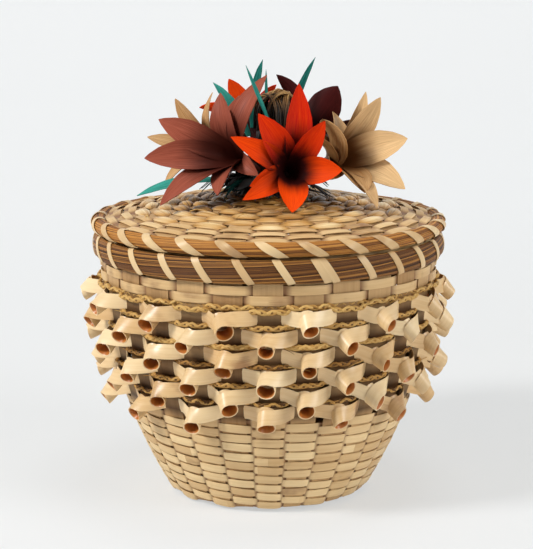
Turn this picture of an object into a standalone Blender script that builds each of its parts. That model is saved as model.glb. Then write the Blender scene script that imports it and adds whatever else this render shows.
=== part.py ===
"""Round lidded basket of wood splint and sweetgrass: woven body with six rows of twisted curls, lashed rims,
and a lid that lifts off and carries a grass knot, six splint flowers and thin leaves. Metres, +Z up, the
front of the basket faces -Y, and the origin is on the floor at the middle of the base."""

import math

import bmesh
import bpy
from mathutils import Vector

for old in list(bpy.data.objects):
    bpy.data.objects.remove(old)

# Basket body
BASE_RADIUS = 0.0604
SHOULDER_RADIUS = 0.1024
WALL_FULL_SHARE = 0.97
BULGE_POWER = 2.1
STANDARD_BEND_SHARES = (0.02, 0.09, 0.19, 0.31, 0.44, 0.58, 0.74, 0.90)
STRIPS = 14
STANDARDS = 2 * STRIPS

# Splint and grass stock
SPLINT = 0.0004
STANDARD_THICKNESS = 0.0005
STANDARD_WIDTH_SHARE = 0.5
CENTRE_STRIP_WIDTH = 0.0026
BRAID_THICKNESS = 0.0019
FIT_GAP = 0.0003

# How far a weaver stands off the standards, outside them and inside them
OVER = 0.00195
UNDER = 0.0010
BRAID_OVER = 0.0025
BRAID_UNDER = 0.0014

# Base
STACK_STEP = 0.0007
STACK_RADIUS = 0.0136
STACK_FOOT_RADIUS = 0.0240
HIGH_STRIP_HEIGHT = 0.0011
BASE_WEAVER_INSET = 0.0164
BASE_WEAVER_WIDTH = 0.009
BASE_EDGE_INSET = 0.0022

# Plain weave under the curls
LOWER_ROWS = 17
FIRST_ROW_HEIGHT = 0.0046
LOWER_ROW_PITCH = 0.0032
LOWER_ROW_GAP = 0.0004

# Curl rows, numbered from the top, each with a braid above it
CURL_ROWS = 6
CURLS_ABOVE_WEAVE = 0.00785
CURL_ROW_PITCH = 0.01163
CURL_STRIP_WIDTH = 0.0080
CURL_RADIUS = 0.0044
CURL_STAND_OFF = 0.0088
CURL_DROP = 0.0030
CURL_ASIDE = 0.0004
CURL_SLOPE = math.radians(35)
CURL_POINTS = 6
CURL_MOUTH_SLIT = math.radians(24)
WING_SHARE = 0.44
WING_LEVEL_SHARE = 1.25

# Plain weavers above the curls
TOP_WEAVER_WIDTH = 0.0046
TOP_WEAVER_PITCH = 0.0056
TOP_WEAVER_ABOVE_BRAID = 0.0040

# Rim of the body
RIM_BUNDLE_RISE = 0.0068
RIM_BUNDLE_DEPTH = 0.0026
HOOP_THICKNESS = 0.0010
HOOP_RISE = 0.0058
LASHING_WIDTH = 0.0050
RIM_LASHING_SHARES = (-0.3, 0.1, 0.2, 0.45)

# Lid
LID_INSET = 0.0026
LID_EDGE_RISE = 0.0075
LID_CROWN = 0.0120
LID_ARM_DROP = 0.0053
LID_ARM_SHARES = (0.34, 0.56, 0.78, 0.987)
LID_HUB_RADIUS = 0.0150
LID_BUNDLE_DEPTH = 0.0043
LID_BUNDLE_RISE = 0.0041
LID_HOOP_RISE = 0.0065
LID_FIRST_ROW_INSET = 0.0058
LID_ROW_PITCH = 0.0050
LID_ROW_WIDTH = 0.0044
LID_SPLINT_ROWS = 3
LID_WEAVE = 0.0013
LID_GRASS_ROWS = 6
LID_GRASS_PITCH = 0.0075
LID_GRASS_WIDTH = 0.0045
LID_GRASS_THICKNESS = 0.0008
LID_GRASS_WEAVE = 0.0019
LID_LASHING_SHARES = (-0.4, -0.4, -0.2, 0.1)

# Knob: the grass knot's height, its sizes as shares of the shoulder's radius, and its radius up its height
SEAT_RADIUS_SHARE = 0.171
SEAT_THICKNESS = 0.0030
KNOT_HEIGHT = 0.0620
KNOT_RADIUS_SHARE = 0.132
KNOT_LEAN_SHARE = 0.078
KNOT_RADIUS_SHARES = ((0.0, 0.70), (0.12, 0.62), (0.45, 0.55), (0.60, 0.70), (0.76, 1.0), (0.90, 0.92), (1.0, 0.4))

# Flowers and leaves
PETAL_THICKNESS = 0.0005
PETAL_LENGTH = 0.050
PETAL_WIDTH = 0.0165
THROAT_RADIUS = 0.0036
STEM_RADIUS = 0.0016
PETAL_FOOT_SHARE = 0.8
PETAL_STAGGER = 0.0008
PETAL_OUTLINE_SHARES = ((0.26, 0.5), (0.56, 1.0), (0.80, 0.66))
LEAF_WIDTH = 0.0042
LEAF_THICKNESS = 0.0006
LEAF_OUTLINE_SHARES = ((0.0, 0.5), (0.35, 0.9), (0.7, 1.0), (1.0, 0.12))

# Each flower: name, colour, its throat as (bearing, share of the lid's radius, share of the knot's height),
# the way it faces as (bearing, rise), and its petals as (bearing, rise, length share, width share), in degrees
FLOWER_SHARES = (
    ("flower_orange_front", (0.75, 0.07, 0.01), (20, 0.365, 0.32), (12, 12), (
        (161, 74, 1.06, 1.0), (-73, 60, 0.81, 1.0), (-71, 30, 0.87, 0.9), (-48, -18, 0.80, 0.8),
        (0, -29, 0.78, 1.1), (62, 6, 0.68, 1.0), (68, 56, 0.75, 0.9))),
    ("flower_brown_left", (0.22, 0.06, 0.035), (-59, 0.259, 0.45), (-20, 10), (
        (-74, -1, 1.05, 1.0), (-87, 27, 0.92, 1.0), (-149, 75, 0.75, 1.0), (85, 60, 1.08, 0.9),
        (-54, -28, 1.12, 0.8), (-12, -35, 0.75, 0.9), (59, -29, 0.42, 0.8))),
    ("flower_tan_left", (0.50, 0.30, 0.12), (-112, 0.406, 0.41), (-60, 35), (
        (-108, 58, 0.75, 0.9), (169, 63, 0.80, 0.8), (-87, 4, 0.74, 0.8), (-66, -32, 0.68, 0.8),
        (-150, 20, 0.74, 0.9), (165, 0, 0.70, 0.9))),
    ("flower_tan_right", (0.56, 0.34, 0.14), (85, 0.406, 0.40), (30, 20), (
        (127, 55, 0.92, 0.6), (95, 55, 0.87, 0.9), (82, 16, 0.86, 1.0), (65, -21, 0.92, 1.1),
        (28, -27, 1.02, 0.5), (1, 53, 0.60, 0.9), (150, 10, 0.74, 0.9))),
    ("flower_burgundy_back", (0.09, 0.012, 0.012), (138, 0.386, 0.606), (120, 50), (
        (-105, 57, 0.83, 0.8), (69, 58, 0.70, 1.1), (96, 5, 0.83, 0.9), (150, 5, 0.80, 1.0),
        (-165, 20, 0.76, 0.9))),
    ("flower_orange_back", (0.70, 0.06, 0.01), (-163, 0.339, 0.70), (-160, 50), (
        (-112, 56, 0.60, 0.9), (122, 48, 0.56, 0.8), (-120, 5, 0.76, 1.0), (-165, -12, 0.80, 1.0),
        (160, -8, 0.72, 0.9))),
)
# Each leaf: where it leaves the knot, a point it passes and its tip, as (bearing, lid share, knot share)
LEAF_SHARES = (
    ((-106, 0.60), (-106, 0.20, 0.82), (-106, 0.337, 1.11)),
    ((0, 0.50), (2, 0.230, 0.86), (-30, 0.265, 1.34)),
    ((-170, 0.86), (-172, 0.20, 1.05), (-173, 0.288, 1.31)),
    ((170, 0.60), (176, 0.18, 0.90), (170, 0.225, 1.20)),
    ((118, 0.60), (124, 0.25, 1.0), (124, 0.338, 1.33)),
    ((-85, 0.16), (-84, 0.40, 0.20), (-82, 0.73, 0.06)),
)


room = SPLINT / 2 + FIT_GAP
bottom_curl_height = FIRST_ROW_HEIGHT + (LOWER_ROWS + 1) * LOWER_ROW_PITCH + CURLS_ABOVE_WEAVE
top_curl_height = bottom_curl_height + (CURL_ROWS - 1) * CURL_ROW_PITCH
low_top_weaver = top_curl_height + CURL_ROW_PITCH / 2 + TOP_WEAVER_ABOVE_BRAID
top_weaver_edge = low_top_weaver + TOP_WEAVER_PITCH + TOP_WEAVER_WIDTH / 2
rim_height = top_weaver_edge + SPLINT + 2 * room + 2 * FIT_GAP + RIM_BUNDLE_RISE
rim_top = rim_height + RIM_BUNDLE_RISE
wall_height = WALL_FULL_SHARE * rim_height
knot_size = KNOT_RADIUS_SHARE * SHOULDER_RADIUS
knot_lean = KNOT_LEAN_SHARE * SHOULDER_RADIUS
seat_radius = SEAT_RADIUS_SHARE * SHOULDER_RADIUS


def ring_point(radius, angle, height):
    """A point of the basket, the angle counted from the front towards the right."""
    return Vector((radius * math.sin(angle), -radius * math.cos(angle), height))


def wall_radius(height):
    share = min(max(height / wall_height, 0.0), 1.0)
    return BASE_RADIUS + (SHOULDER_RADIUS - BASE_RADIUS) * (1 - (1 - share) ** BULGE_POWER)


def wall_axes(angle, height):
    """Directions along the ring, out of the wall and up the wall."""
    small = wall_height / 1000
    lean = (wall_radius(height + small) - wall_radius(height - small)) / (2 * small)
    along = Vector((math.cos(angle), math.sin(angle), 0))
    up = (ring_point(lean, angle, 1)).normalized()
    return along, along.cross(up), up


def finish(name, mesh, colour, roughness=0.6, parent=None):
    """Makes the named piece from its mesh, placed under the parent that carries it."""
    bmesh.ops.recalc_face_normals(mesh, faces=mesh.faces)
    if mesh.calc_volume(signed=True) < 0:
        bmesh.ops.reverse_faces(mesh, faces=mesh.faces)
    data = bpy.data.meshes.new(name)
    mesh.to_mesh(data)
    mesh.free()
    data.shade_smooth()
    data.set_sharp_from_angle(angle=math.radians(35))
    material = bpy.data.materials.new(name)
    material.use_nodes = True
    shader = material.node_tree.nodes["Principled BSDF"]
    shader.inputs["Base Color"].default_value = (*colour, 1)
    shader.inputs["Roughness"].default_value = roughness
    data.materials.append(material)
    piece = bpy.data.objects.new(name, data)
    bpy.context.scene.collection.objects.link(piece)
    piece.parent = parent
    if parent:
        data.transform(parent.matrix_world.inverted())
    return piece


def sweep(sections, closed):
    """A closed body through a run of sections, each a list of as many points. The first half of a section's
    sides is split along one diagonal and the rest along the other, so the two faces of a twisted strip bend
    alike."""
    mesh = bmesh.new()
    rows = [[mesh.verts.new(point) for point in section] for section in sections]
    count = len(rows)
    for index in range(count if closed else count - 1):
        here, there = rows[index], rows[(index + 1) % count]
        for side in range(len(here)):
            after = (side + 1) % len(here)
            if side < len(here) / 2:
                mesh.faces.new((here[side], here[after], there[after]))
                mesh.faces.new((here[side], there[after], there[side]))
            else:
                mesh.faces.new((here[side], here[after], there[side]))
                mesh.faces.new((here[after], there[after], there[side]))
    if not closed:
        mesh.faces.new(rows[0])
        mesh.faces.new(rows[-1])
    return mesh


def ribbon(points, widths, across, thickness, closed, crowned=True):
    """A strip of splint through the points: flat, or with a crowned outer face."""
    sections = []
    count = len(points)
    for index, point in enumerate(points):
        before = points[(index - 1) % count] if closed or index else point
        after = points[(index + 1) % count] if closed or index < count - 1 else point
        side = across[index]
        run = (after - point).normalized() + (point - before).normalized()
        out = run.cross(side).normalized()
        half = side * (widths[index] / 2)
        low = out * (-thickness / 2)
        if crowned:
            sections.append([point - half + low, point + half + low, point - low])
        else:
            sections.append([point - half + low, point + half + low, point + half - low, point - half - low])
    return sweep(sections, closed)


def oval_ring(radius, height, depth, rise, steps, sides):
    sections = []
    for step in range(steps):
        angle = 2 * math.pi * step / steps
        section = []
        for side in range(sides):
            turn = 2 * math.pi * (side + 0.5) / sides
            section.append(ring_point(radius + depth * math.cos(turn), angle, height + rise * math.sin(turn)))
        sections.append(section)
    return sweep(sections, True)


SPLINT_COLOUR = (0.66, 0.48, 0.27)
CURL_COLOUR = (0.72, 0.53, 0.31)
GRASS_COLOUR = (0.46, 0.27, 0.08)
DARK_GRASS_COLOUR = (0.22, 0.11, 0.03)
LEAF_COLOUR = (0.02, 0.25, 0.22)

pitch_angle = 2 * math.pi / STANDARDS


def standard_width(radius):
    return max(STANDARD_WIDTH_SHARE * pitch_angle * radius, CENTRE_STRIP_WIDTH)



def make_standards():
    """Each strip crosses under the base and turns up the wall at both its ends."""
    heights = [wall_height * share for share in STANDARD_BEND_SHARES]
    for number in range(STRIPS):
        bearing = number * pitch_angle
        base = STANDARD_THICKNESS / 2 + (number % 2) * HIGH_STRIP_HEIGHT
        stack = STANDARD_THICKNESS / 2 + (number + 1) * STACK_STEP + HIGH_STRIP_HEIGHT
        half = [(STACK_RADIUS, stack), (STACK_FOOT_RADIUS, base), (BASE_RADIUS - BASE_EDGE_INSET, base)]
        half += [(wall_radius(height), height) for height in heights]
        half.append((SHOULDER_RADIUS, rim_top - FIT_GAP))
        points, widths, across = [], [], []
        for radius, height in reversed(half):
            points.append(ring_point(radius, bearing + math.pi, height))
            widths.append(standard_width(radius))
            across.append(Vector((math.cos(bearing), math.sin(bearing), 0)))
        for radius, height in half:
            points.append(ring_point(radius, bearing, height))
            widths.append(standard_width(radius))
            across.append(Vector((math.cos(bearing), math.sin(bearing), 0)))
        mesh = ribbon(points, widths, across, STANDARD_THICKNESS, False, crowned=False)
        finish("standard_%02d" % (number + 1), mesh, SPLINT_COLOUR)


def make_base_weaver():
    """A flat weaver that lies over the low strips and under the high ones."""
    height = STANDARD_THICKNESS / 2 + HIGH_STRIP_HEIGHT / 2
    radius = BASE_RADIUS - BASE_WEAVER_INSET
    points = [ring_point(radius, k * pitch_angle, height) for k in range(STANDARDS)]
    across = [ring_point(1, k * pitch_angle, 0) for k in range(STANDARDS)]
    widths = [BASE_WEAVER_WIDTH] * STANDARDS
    thin = HIGH_STRIP_HEIGHT - STANDARD_THICKNESS - FIT_GAP
    finish("base_weaver", ribbon(points, widths, across, thin, True, crowned=False), SPLINT_COLOUR)


def weave_point(index, height, phase, over=OVER, under=UNDER):
    """Where a weaver crosses a standard: outside it or inside it in turn."""
    angle = index * pitch_angle
    along, out, up = wall_axes(angle, height)
    offset = over if (index + phase) % 2 == 0 else -under
    return ring_point(wall_radius(height), angle, height) + out * offset, up


def make_lower_weave():
    """Two weavers chase each other in one spiral, each over the standards that the other goes under."""
    width = LOWER_ROW_PITCH - LOWER_ROW_GAP
    for phase, letter in enumerate("ab"):
        points, across = [], []
        for index in range(LOWER_ROWS * STANDARDS // 2 + 1):
            climb = 2 * LOWER_ROW_PITCH * index / STANDARDS
            point, up = weave_point(index, FIRST_ROW_HEIGHT + phase * LOWER_ROW_PITCH + climb, phase)
            points.append(point)
            across.append(up)
        mesh = ribbon(points, [width] * len(points), across, SPLINT, False)
        finish("lower_weaver_" + letter, mesh, SPLINT_COLOUR)


def make_curl_strips():
    """A wide strip goes inside one standard and curls into a tube in front of the next."""
    for row in range(CURL_ROWS):
        height = top_curl_height - row * CURL_ROW_PITCH
        phase = (row + 1) % 2
        points, across = [], []
        for index in range(STANDARDS):
            if (index + phase) % 2:
                point, up = weave_point(index, height, phase)
                points.append(point)
                across.append(up)
                continue
            angle = index * pitch_angle
            along, out, up = wall_axes(angle, height)
            middle = ring_point(wall_radius(height), angle, height)
            swing = WING_SHARE * pitch_angle
            left = ring_point(wall_radius(height), angle - swing, height) + out * SPLINT
            right = ring_point(wall_radius(height), angle + swing, height) + out * SPLINT
            mouth = -out * math.cos(CURL_SLOPE) + up * math.sin(CURL_SLOPE)
            lift = out * math.sin(CURL_SLOPE) + up * math.cos(CURL_SLOPE)
            centre = middle + out * CURL_STAND_OFF - up * CURL_DROP + along * CURL_ASIDE
            level = centre + lift * CURL_RADIUS
            reach = along * (CURL_RADIUS * WING_LEVEL_SHARE)
            points += [left, level - reach]
            across += [up, mouth]
            for step in range(CURL_POINTS):
                open_angle = 2 * math.pi - CURL_MOUTH_SLIT
                turn = math.pi / 2 + CURL_MOUTH_SLIT / 2 + open_angle * step / (CURL_POINTS - 1)
                swing_out, rise = CURL_RADIUS * math.cos(turn), CURL_RADIUS * math.sin(turn)
                points.append(centre + along * swing_out + lift * rise)
                across.append(mouth)
            points += [level + reach, right]
            across += [mouth, up]
        widths = [CURL_STRIP_WIDTH] * len(points)
        mesh = ribbon(points, widths, across, SPLINT, True, crowned=False)
        finish("curl_strip_%d" % (row + 1), mesh, CURL_COLOUR, 0.45)


def make_braids():
    for row in range(CURL_ROWS):
        height = top_curl_height - row * CURL_ROW_PITCH + CURL_ROW_PITCH / 2
        points, across = [], []
        for index in range(STANDARDS):
            point, up = weave_point(index, height, (row + 1) % 2, BRAID_OVER, BRAID_UNDER)
            points.append(point)
            across.append(up)
        mesh = ribbon(points, [BRAID_THICKNESS] * STANDARDS, across, BRAID_THICKNESS / 2, True)
        finish("sweetgrass_braid_%d" % (row + 1), mesh, GRASS_COLOUR, 0.7)


def make_top_weavers():
    for number in range(2):
        points, across = [], []
        for index in range(STANDARDS):
            point, up = weave_point(index, low_top_weaver + (1 - number) * TOP_WEAVER_PITCH, number + 1)
            points.append(point)
            across.append(up)
        mesh = ribbon(points, [TOP_WEAVER_WIDTH] * STANDARDS, across, SPLINT, True)
        finish("top_weaver_%d" % (number + 1), mesh, SPLINT_COLOUR)


def wrap(name, corners, slant_shares, parent=None):
    """One splint wound round a rim, a turn for each standard. The corners are (radius, height): inside low,
    inside high, outside high, outside low, and each has its share of a standard's pitch."""
    middle_radius = sum(radius for radius, height in corners) / len(corners)
    middle_height = sum(height for radius, height in corners) / len(corners)
    sections = []
    for index in range(STANDARDS):
        for (radius, height), slant in zip(corners, slant_shares):
            angle = (index + slant) * pitch_angle
            point = ring_point(radius, angle, height)
            out = (point - ring_point(middle_radius, angle, middle_height)).normalized()
            half = Vector((math.cos(angle), math.sin(angle), 0)) * (LASHING_WIDTH / 2)
            low, high = point - out * (SPLINT / 2), point + out * (SPLINT / 2)
            sections.append([low - half, low + half, high + half, high - half])
    finish(name, sweep(sections, False), CURL_COLOUR, 0.45, parent)


rim_bundle_radius = SHOULDER_RADIUS + STANDARD_THICKNESS + FIT_GAP + RIM_BUNDLE_DEPTH
hoop_radius = SHOULDER_RADIUS - STANDARD_THICKNESS - FIT_GAP - HOOP_THICKNESS / 2


def make_body_rim():
    bundle = oval_ring(rim_bundle_radius, rim_height, RIM_BUNDLE_DEPTH, RIM_BUNDLE_RISE, 3 * STRIPS, 6)
    finish("rim_grass_bundle", bundle, DARK_GRASS_COLOUR, 0.75)
    thin, tall = HOOP_THICKNESS / math.sqrt(2), HOOP_RISE * math.sqrt(2)
    hoop = oval_ring(hoop_radius, rim_height, thin, tall, 2 * STANDARDS, 4)
    finish("rim_inner_hoop", hoop, SPLINT_COLOUR)
    outer = rim_bundle_radius + RIM_BUNDLE_DEPTH + room
    inner = hoop_radius - HOOP_THICKNESS / 2 - room - SPLINT / 2
    low = rim_height - RIM_BUNDLE_RISE - room
    high = rim_top + room
    wrap("rim_lashing", [(inner, low), (inner, high), (outer, high), (outer, low)], RIM_LASHING_SHARES)


lid_bottom = rim_top + room + SPLINT / 2 + FIT_GAP
lid_arm_radius = SHOULDER_RADIUS - LID_INSET
lid_edge_height = lid_bottom + LID_EDGE_RISE
lid_rim_radius = lid_arm_radius + STANDARD_THICKNESS + FIT_GAP + LID_BUNDLE_DEPTH
lid_rim_height = lid_bottom + SPLINT / 2 + room + LID_BUNDLE_RISE
lid_axis = bpy.data.objects.new("lid_axis", None)
lid_axis.location = (0, 0, lid_bottom)
bpy.context.scene.collection.objects.link(lid_axis)
bpy.context.view_layer.update()


def lid_height(radius):
    return lid_edge_height + LID_CROWN * (1 - (radius / lid_arm_radius) ** 2)


def lid_axes(radius, angle):
    """The way in towards the middle along the lid, and straight off the lid."""
    slope = 2 * LID_CROWN * radius / lid_arm_radius ** 2
    inward = Vector((-math.sin(angle), math.cos(angle), slope)).normalized()
    along = Vector((math.cos(angle), math.sin(angle), 0))
    return inward, along.cross(inward)


def make_lid_spokes():
    """The lid's spokes: arms that meet in a hub and turn down inside the rim at their ends."""
    stations = [(LID_HUB_RADIUS, lid_height(LID_HUB_RADIUS), 0)]
    stations += [(lid_arm_radius * share, lid_height(lid_arm_radius * share), 0) for share in LID_ARM_SHARES]
    stations.append((lid_arm_radius, lid_edge_height - 2 * STANDARD_THICKNESS, 1))
    stations.append((lid_arm_radius, lid_edge_height - LID_ARM_DROP, 1))
    mesh = bmesh.new()
    half = STANDARD_THICKNESS / 2
    arms = []
    for number in range(STANDARDS):
        angle = number * pitch_angle
        along = Vector((math.cos(angle), math.sin(angle), 0))
        arm = []
        for radius, height, turned in stations:
            middle = ring_point(radius, angle, height)
            off = ring_point(1, angle, 0) if turned else lid_axes(radius, angle)[1]
            side = along * (standard_width(radius) / 2)
            corners = (middle - side + off * half, middle + side + off * half,
                       middle + side - off * half, middle - side - off * half)
            arm.append([mesh.verts.new(corner) for corner in corners])
        for here, there in zip(arm, arm[1:]):
            for side in range(4):
                after = (side + 1) % 4
                mesh.faces.new((here[side], here[after], there[after], there[side]))
        mesh.faces.new(arm[-1])
        arms.append(arm[0])
    for here, there in zip(arms, arms[1:] + arms[:1]):
        mesh.faces.new((here[1], there[0], there[3], here[2]))
    mesh.faces.new([corner for arm in arms for corner in (arm[0], arm[1])])
    mesh.faces.new([corner for arm in arms for corner in (arm[3], arm[2])])
    finish("lid_spokes", mesh, SPLINT_COLOUR, parent=lid_axis)


def lid_weave_point(index, radius, phase, stand_off):
    angle = index * pitch_angle
    inward, off = lid_axes(radius, angle)
    side = 1 if (index + phase) % 2 == 0 else -1
    return ring_point(radius, angle, lid_height(radius)) + off * (side * stand_off), inward


def make_lid_rows():
    for row in range(LID_SPLINT_ROWS):
        radius = lid_arm_radius - LID_FIRST_ROW_INSET - row * LID_ROW_PITCH
        points, across = zip(*[lid_weave_point(index, radius, row, LID_WEAVE) for index in range(STANDARDS)])
        mesh = ribbon(points, [LID_ROW_WIDTH] * STANDARDS, across, SPLINT, True)
        finish("lid_weaver_%d" % (row + 1), mesh, SPLINT_COLOUR, parent=lid_axis)
    first = lid_arm_radius - LID_FIRST_ROW_INSET - LID_SPLINT_ROWS * LID_ROW_PITCH
    first -= LID_GRASS_WIDTH - LID_ROW_WIDTH
    turns = LID_GRASS_ROWS // 2
    for phase, letter in enumerate("ab"):
        points, across = [], []
        for index in range(turns * STANDARDS + 1):
            radius = first - LID_GRASS_PITCH * (phase + 2 * index / STANDARDS)
            point, inward = lid_weave_point(index, radius, phase, LID_GRASS_WEAVE)
            points.append(point)
            across.append(inward)
        mesh = ribbon(points, [LID_GRASS_WIDTH] * len(points), across, LID_GRASS_THICKNESS, False)
        finish("lid_grass_weaver_" + letter, mesh, GRASS_COLOUR, 0.7, lid_axis)


def make_lid_rim():
    bundle = oval_ring(lid_rim_radius, lid_rim_height, LID_BUNDLE_DEPTH, LID_BUNDLE_RISE, 3 * STRIPS, 6)
    finish("lid_grass_bundle", bundle, GRASS_COLOUR, 0.75, lid_axis)
    outer = lid_rim_radius + LID_BUNDLE_DEPTH + room
    inner = lid_arm_radius - STANDARD_THICKNESS - room
    low = lid_bottom + SPLINT / 2
    high = lid_rim_height + LID_BUNDLE_RISE + room
    wrap("lid_lashing", [(inner, low), (inner, high), (outer, high), (outer, low)], LID_LASHING_SHARES, lid_axis)
    radius = inner - room - FIT_GAP - HOOP_THICKNESS / 2
    height = lid_edge_height - STANDARD_THICKNESS / 2 - FIT_GAP - LID_HOOP_RISE
    hoop = oval_ring(radius, height, HOOP_THICKNESS / math.sqrt(2), LID_HOOP_RISE * math.sqrt(2), 2 * STANDARDS, 4)
    finish("lid_inner_hoop", hoop, SPLINT_COLOUR, parent=lid_axis)


seat_height = lid_height(seat_radius) + STANDARD_THICKNESS + FIT_GAP + SEAT_THICKNESS
knot_bottom = lid_height(0) + STANDARD_THICKNESS / 2 + FIT_GAP


def knot_radius(share):
    """The knot's radius at a share of its height."""
    for (low, small), (high, large) in zip(KNOT_RADIUS_SHARES, KNOT_RADIUS_SHARES[1:]):
        if share <= high:
            return knot_size * (small + (large - small) * (share - low) / (high - low))
    return knot_size * KNOT_RADIUS_SHARES[-1][1]


def knot_middle(share):
    return Vector((knot_lean * share, 0, knot_bottom + KNOT_HEIGHT * share))


def make_knob():
    seat = oval_ring(seat_radius, seat_height, SEAT_THICKNESS, SEAT_THICKNESS, STRIPS, 6)
    finish("grass_seat_ring", seat, GRASS_COLOUR, 0.75, lid_axis)
    sections = []
    for share, radius_share in KNOT_RADIUS_SHARES:
        turns = [2 * math.pi * step / STRIPS for step in range(STRIPS)]
        middle = knot_middle(share)
        sections.append([middle + ring_point(knot_size * radius_share, turn, 0) for turn in turns])
    finish("sweetgrass_knot", sweep(sections, False), DARK_GRASS_COLOUR, 0.75, lid_axis)


def cluster_point(bearing, lid_share, knot_share):
    height = knot_bottom + KNOT_HEIGHT * knot_share
    return ring_point(lid_rim_radius * lid_share, math.radians(bearing), height)


def heading(bearing, rise):
    flat = math.cos(math.radians(rise))
    return ring_point(flat, math.radians(bearing), math.sin(math.radians(rise)))


def make_flower(name, colour, throat_shares, facing, petals):
    """A cut splint flower: pointed petals from a small throat, on a stem that ends at the knot."""
    throat = cluster_point(*throat_shares)
    axis = heading(*facing)
    right = axis.cross(Vector((0, 0, 1))).normalized()
    top = right.cross(axis)
    away = throat - knot_middle(throat_shares[2])
    away.z = 0
    clear = knot_radius(throat_shares[2]) + FIT_GAP + PETAL_THICKNESS
    root = knot_middle(throat_shares[2]) + away.normalized() * clear

    def turn_of(petal):
        way = heading(petal[0], petal[1])
        return math.atan2(way.dot(top), way.dot(right))

    petals = sorted(petals, key=turn_of)
    count = len(petals)
    first = sum(turn_of(petal) - 2 * math.pi * k / count for k, petal in enumerate(petals)) / count
    mesh = bmesh.new()
    rim, foot = [], []
    stem_way = (root - throat).normalized()
    for number, (bearing, rise, length_share, width_share) in enumerate(petals):
        way = heading(bearing, rise)
        length = PETAL_LENGTH * length_share
        flat = way.cross(axis).normalized()
        slot = first + 2 * math.pi * number / count
        pair = []
        for sign in (-1, 1):
            turn = slot + sign * math.pi / count * PETAL_FOOT_SHARE
            spoke = right * math.cos(turn) + top * math.sin(turn)
            pair.append(mesh.verts.new(throat + spoke * THROAT_RADIUS))
            rim.append(pair[-1])
            foot.append(mesh.verts.new(root + (spoke - stem_way * spoke.dot(stem_way)) * STEM_RADIUS))
        ring_way = pair[1].co - pair[0].co
        if flat.dot(ring_way) < 0:
            flat = -flat
        base = (pair[0].co + pair[1].co) / 2
        before = pair
        stagger = axis * (PETAL_STAGGER * (number % 3 - 1))
        for share, wide in PETAL_OUTLINE_SHARES:
            middle = base.lerp(throat + way * length, share) + stagger
            half = flat * (PETAL_WIDTH * width_share * wide / 2)
            row = [mesh.verts.new(middle - half), mesh.verts.new(middle + half)]
            mesh.faces.new((before[0], before[1], row[1], row[0]))
            before = row
        tip = mesh.verts.new(throat + way * length)
        mesh.faces.new((before[0], before[1], tip))
    total = len(rim)
    for side in range(total):
        after = (side + 1) % total
        mesh.faces.new((rim[side], rim[after], foot[after], foot[side]))
    mesh.faces.new(foot)
    flower = finish(name, mesh, colour, 0.5, lid_axis)
    wall = flower.modifiers.new("thickness", "SOLIDIFY")
    wall.thickness = PETAL_THICKNESS
    wall.offset = 0


def make_leaves():
    for number, (start, through, end) in enumerate(LEAF_SHARES):
        bearing, share = start
        out = ring_point(1, math.radians(bearing), 0)
        root = knot_middle(share) + out * (knot_radius(share) + FIT_GAP + LEAF_THICKNESS)
        middle, tip = cluster_point(*through), cluster_point(*end)
        points, widths, across = [], [], []
        for step_share, wide in LEAF_OUTLINE_SHARES:
            low, high = root.lerp(middle, step_share), middle.lerp(tip, step_share)
            points.append(low.lerp(high, step_share))
            widths.append(LEAF_WIDTH * wide)
        for index, point in enumerate(points):
            run = points[min(index + 1, len(points) - 1)] - points[max(index - 1, 0)]
            across.append(run.cross(out).normalized())
        mesh = ribbon(points, widths, across, LEAF_THICKNESS, False)
        finish("leaf_%d" % (number + 1), mesh, LEAF_COLOUR, 0.5, lid_axis)


make_standards()
make_base_weaver()
make_lower_weave()
make_curl_strips()
make_braids()
make_top_weavers()
make_body_rim()
make_lid_spokes()
make_lid_rows()
make_lid_rim()
make_knob()
for flower_shares in FLOWER_SHARES:
    make_flower(*flower_shares)
make_leaves()
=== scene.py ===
# %% [markdown]
# A round lidded basket of wood splint and sweetgrass. The real one is plaited: 28 flat uprights, called
# standards, rise from the base, and splints are woven over and under them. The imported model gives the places
# and sizes of the parts, and this script gives them their woven look around that frame. We load the frame
# first, because everything else is measured from it.

# %% Load the frame
import math
import random

import bpy
import numpy as np
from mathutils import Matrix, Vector


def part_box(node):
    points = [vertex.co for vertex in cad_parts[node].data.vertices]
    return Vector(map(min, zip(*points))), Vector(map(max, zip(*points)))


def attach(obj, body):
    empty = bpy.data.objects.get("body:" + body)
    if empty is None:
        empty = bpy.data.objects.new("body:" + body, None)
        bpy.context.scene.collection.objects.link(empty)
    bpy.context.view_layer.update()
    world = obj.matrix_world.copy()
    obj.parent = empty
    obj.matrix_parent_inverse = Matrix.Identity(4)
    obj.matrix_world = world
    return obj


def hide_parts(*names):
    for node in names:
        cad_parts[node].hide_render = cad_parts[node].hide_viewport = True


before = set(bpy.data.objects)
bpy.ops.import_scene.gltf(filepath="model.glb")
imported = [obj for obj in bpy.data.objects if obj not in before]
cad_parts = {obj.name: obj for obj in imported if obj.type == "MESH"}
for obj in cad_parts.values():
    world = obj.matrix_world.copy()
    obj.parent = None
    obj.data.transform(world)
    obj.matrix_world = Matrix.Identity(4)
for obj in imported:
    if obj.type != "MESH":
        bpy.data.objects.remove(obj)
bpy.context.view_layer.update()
scene = bpy.context.scene
MM = 0.001
print("frame holds", len(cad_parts), "nodes")

# %% [markdown]
# The camera comes next, so that every test render shows the photograph's view. The rows of weaving act as
# level rings: how round their ellipses look at the base and at the rim gives the camera's height and
# distance, about one metre away and a third of a metre up.

# %% Camera
CAMERA_DISTANCE = 1030 * MM
CAMERA_HEIGHT = 335 * MM
CAMERA_PITCH = math.radians(11.1)
CAMERA_ASIDE = -1.2 * MM
FOCAL_PIXELS = 1690
PHOTO_HEIGHT = 549
SENSOR = 36

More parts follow.
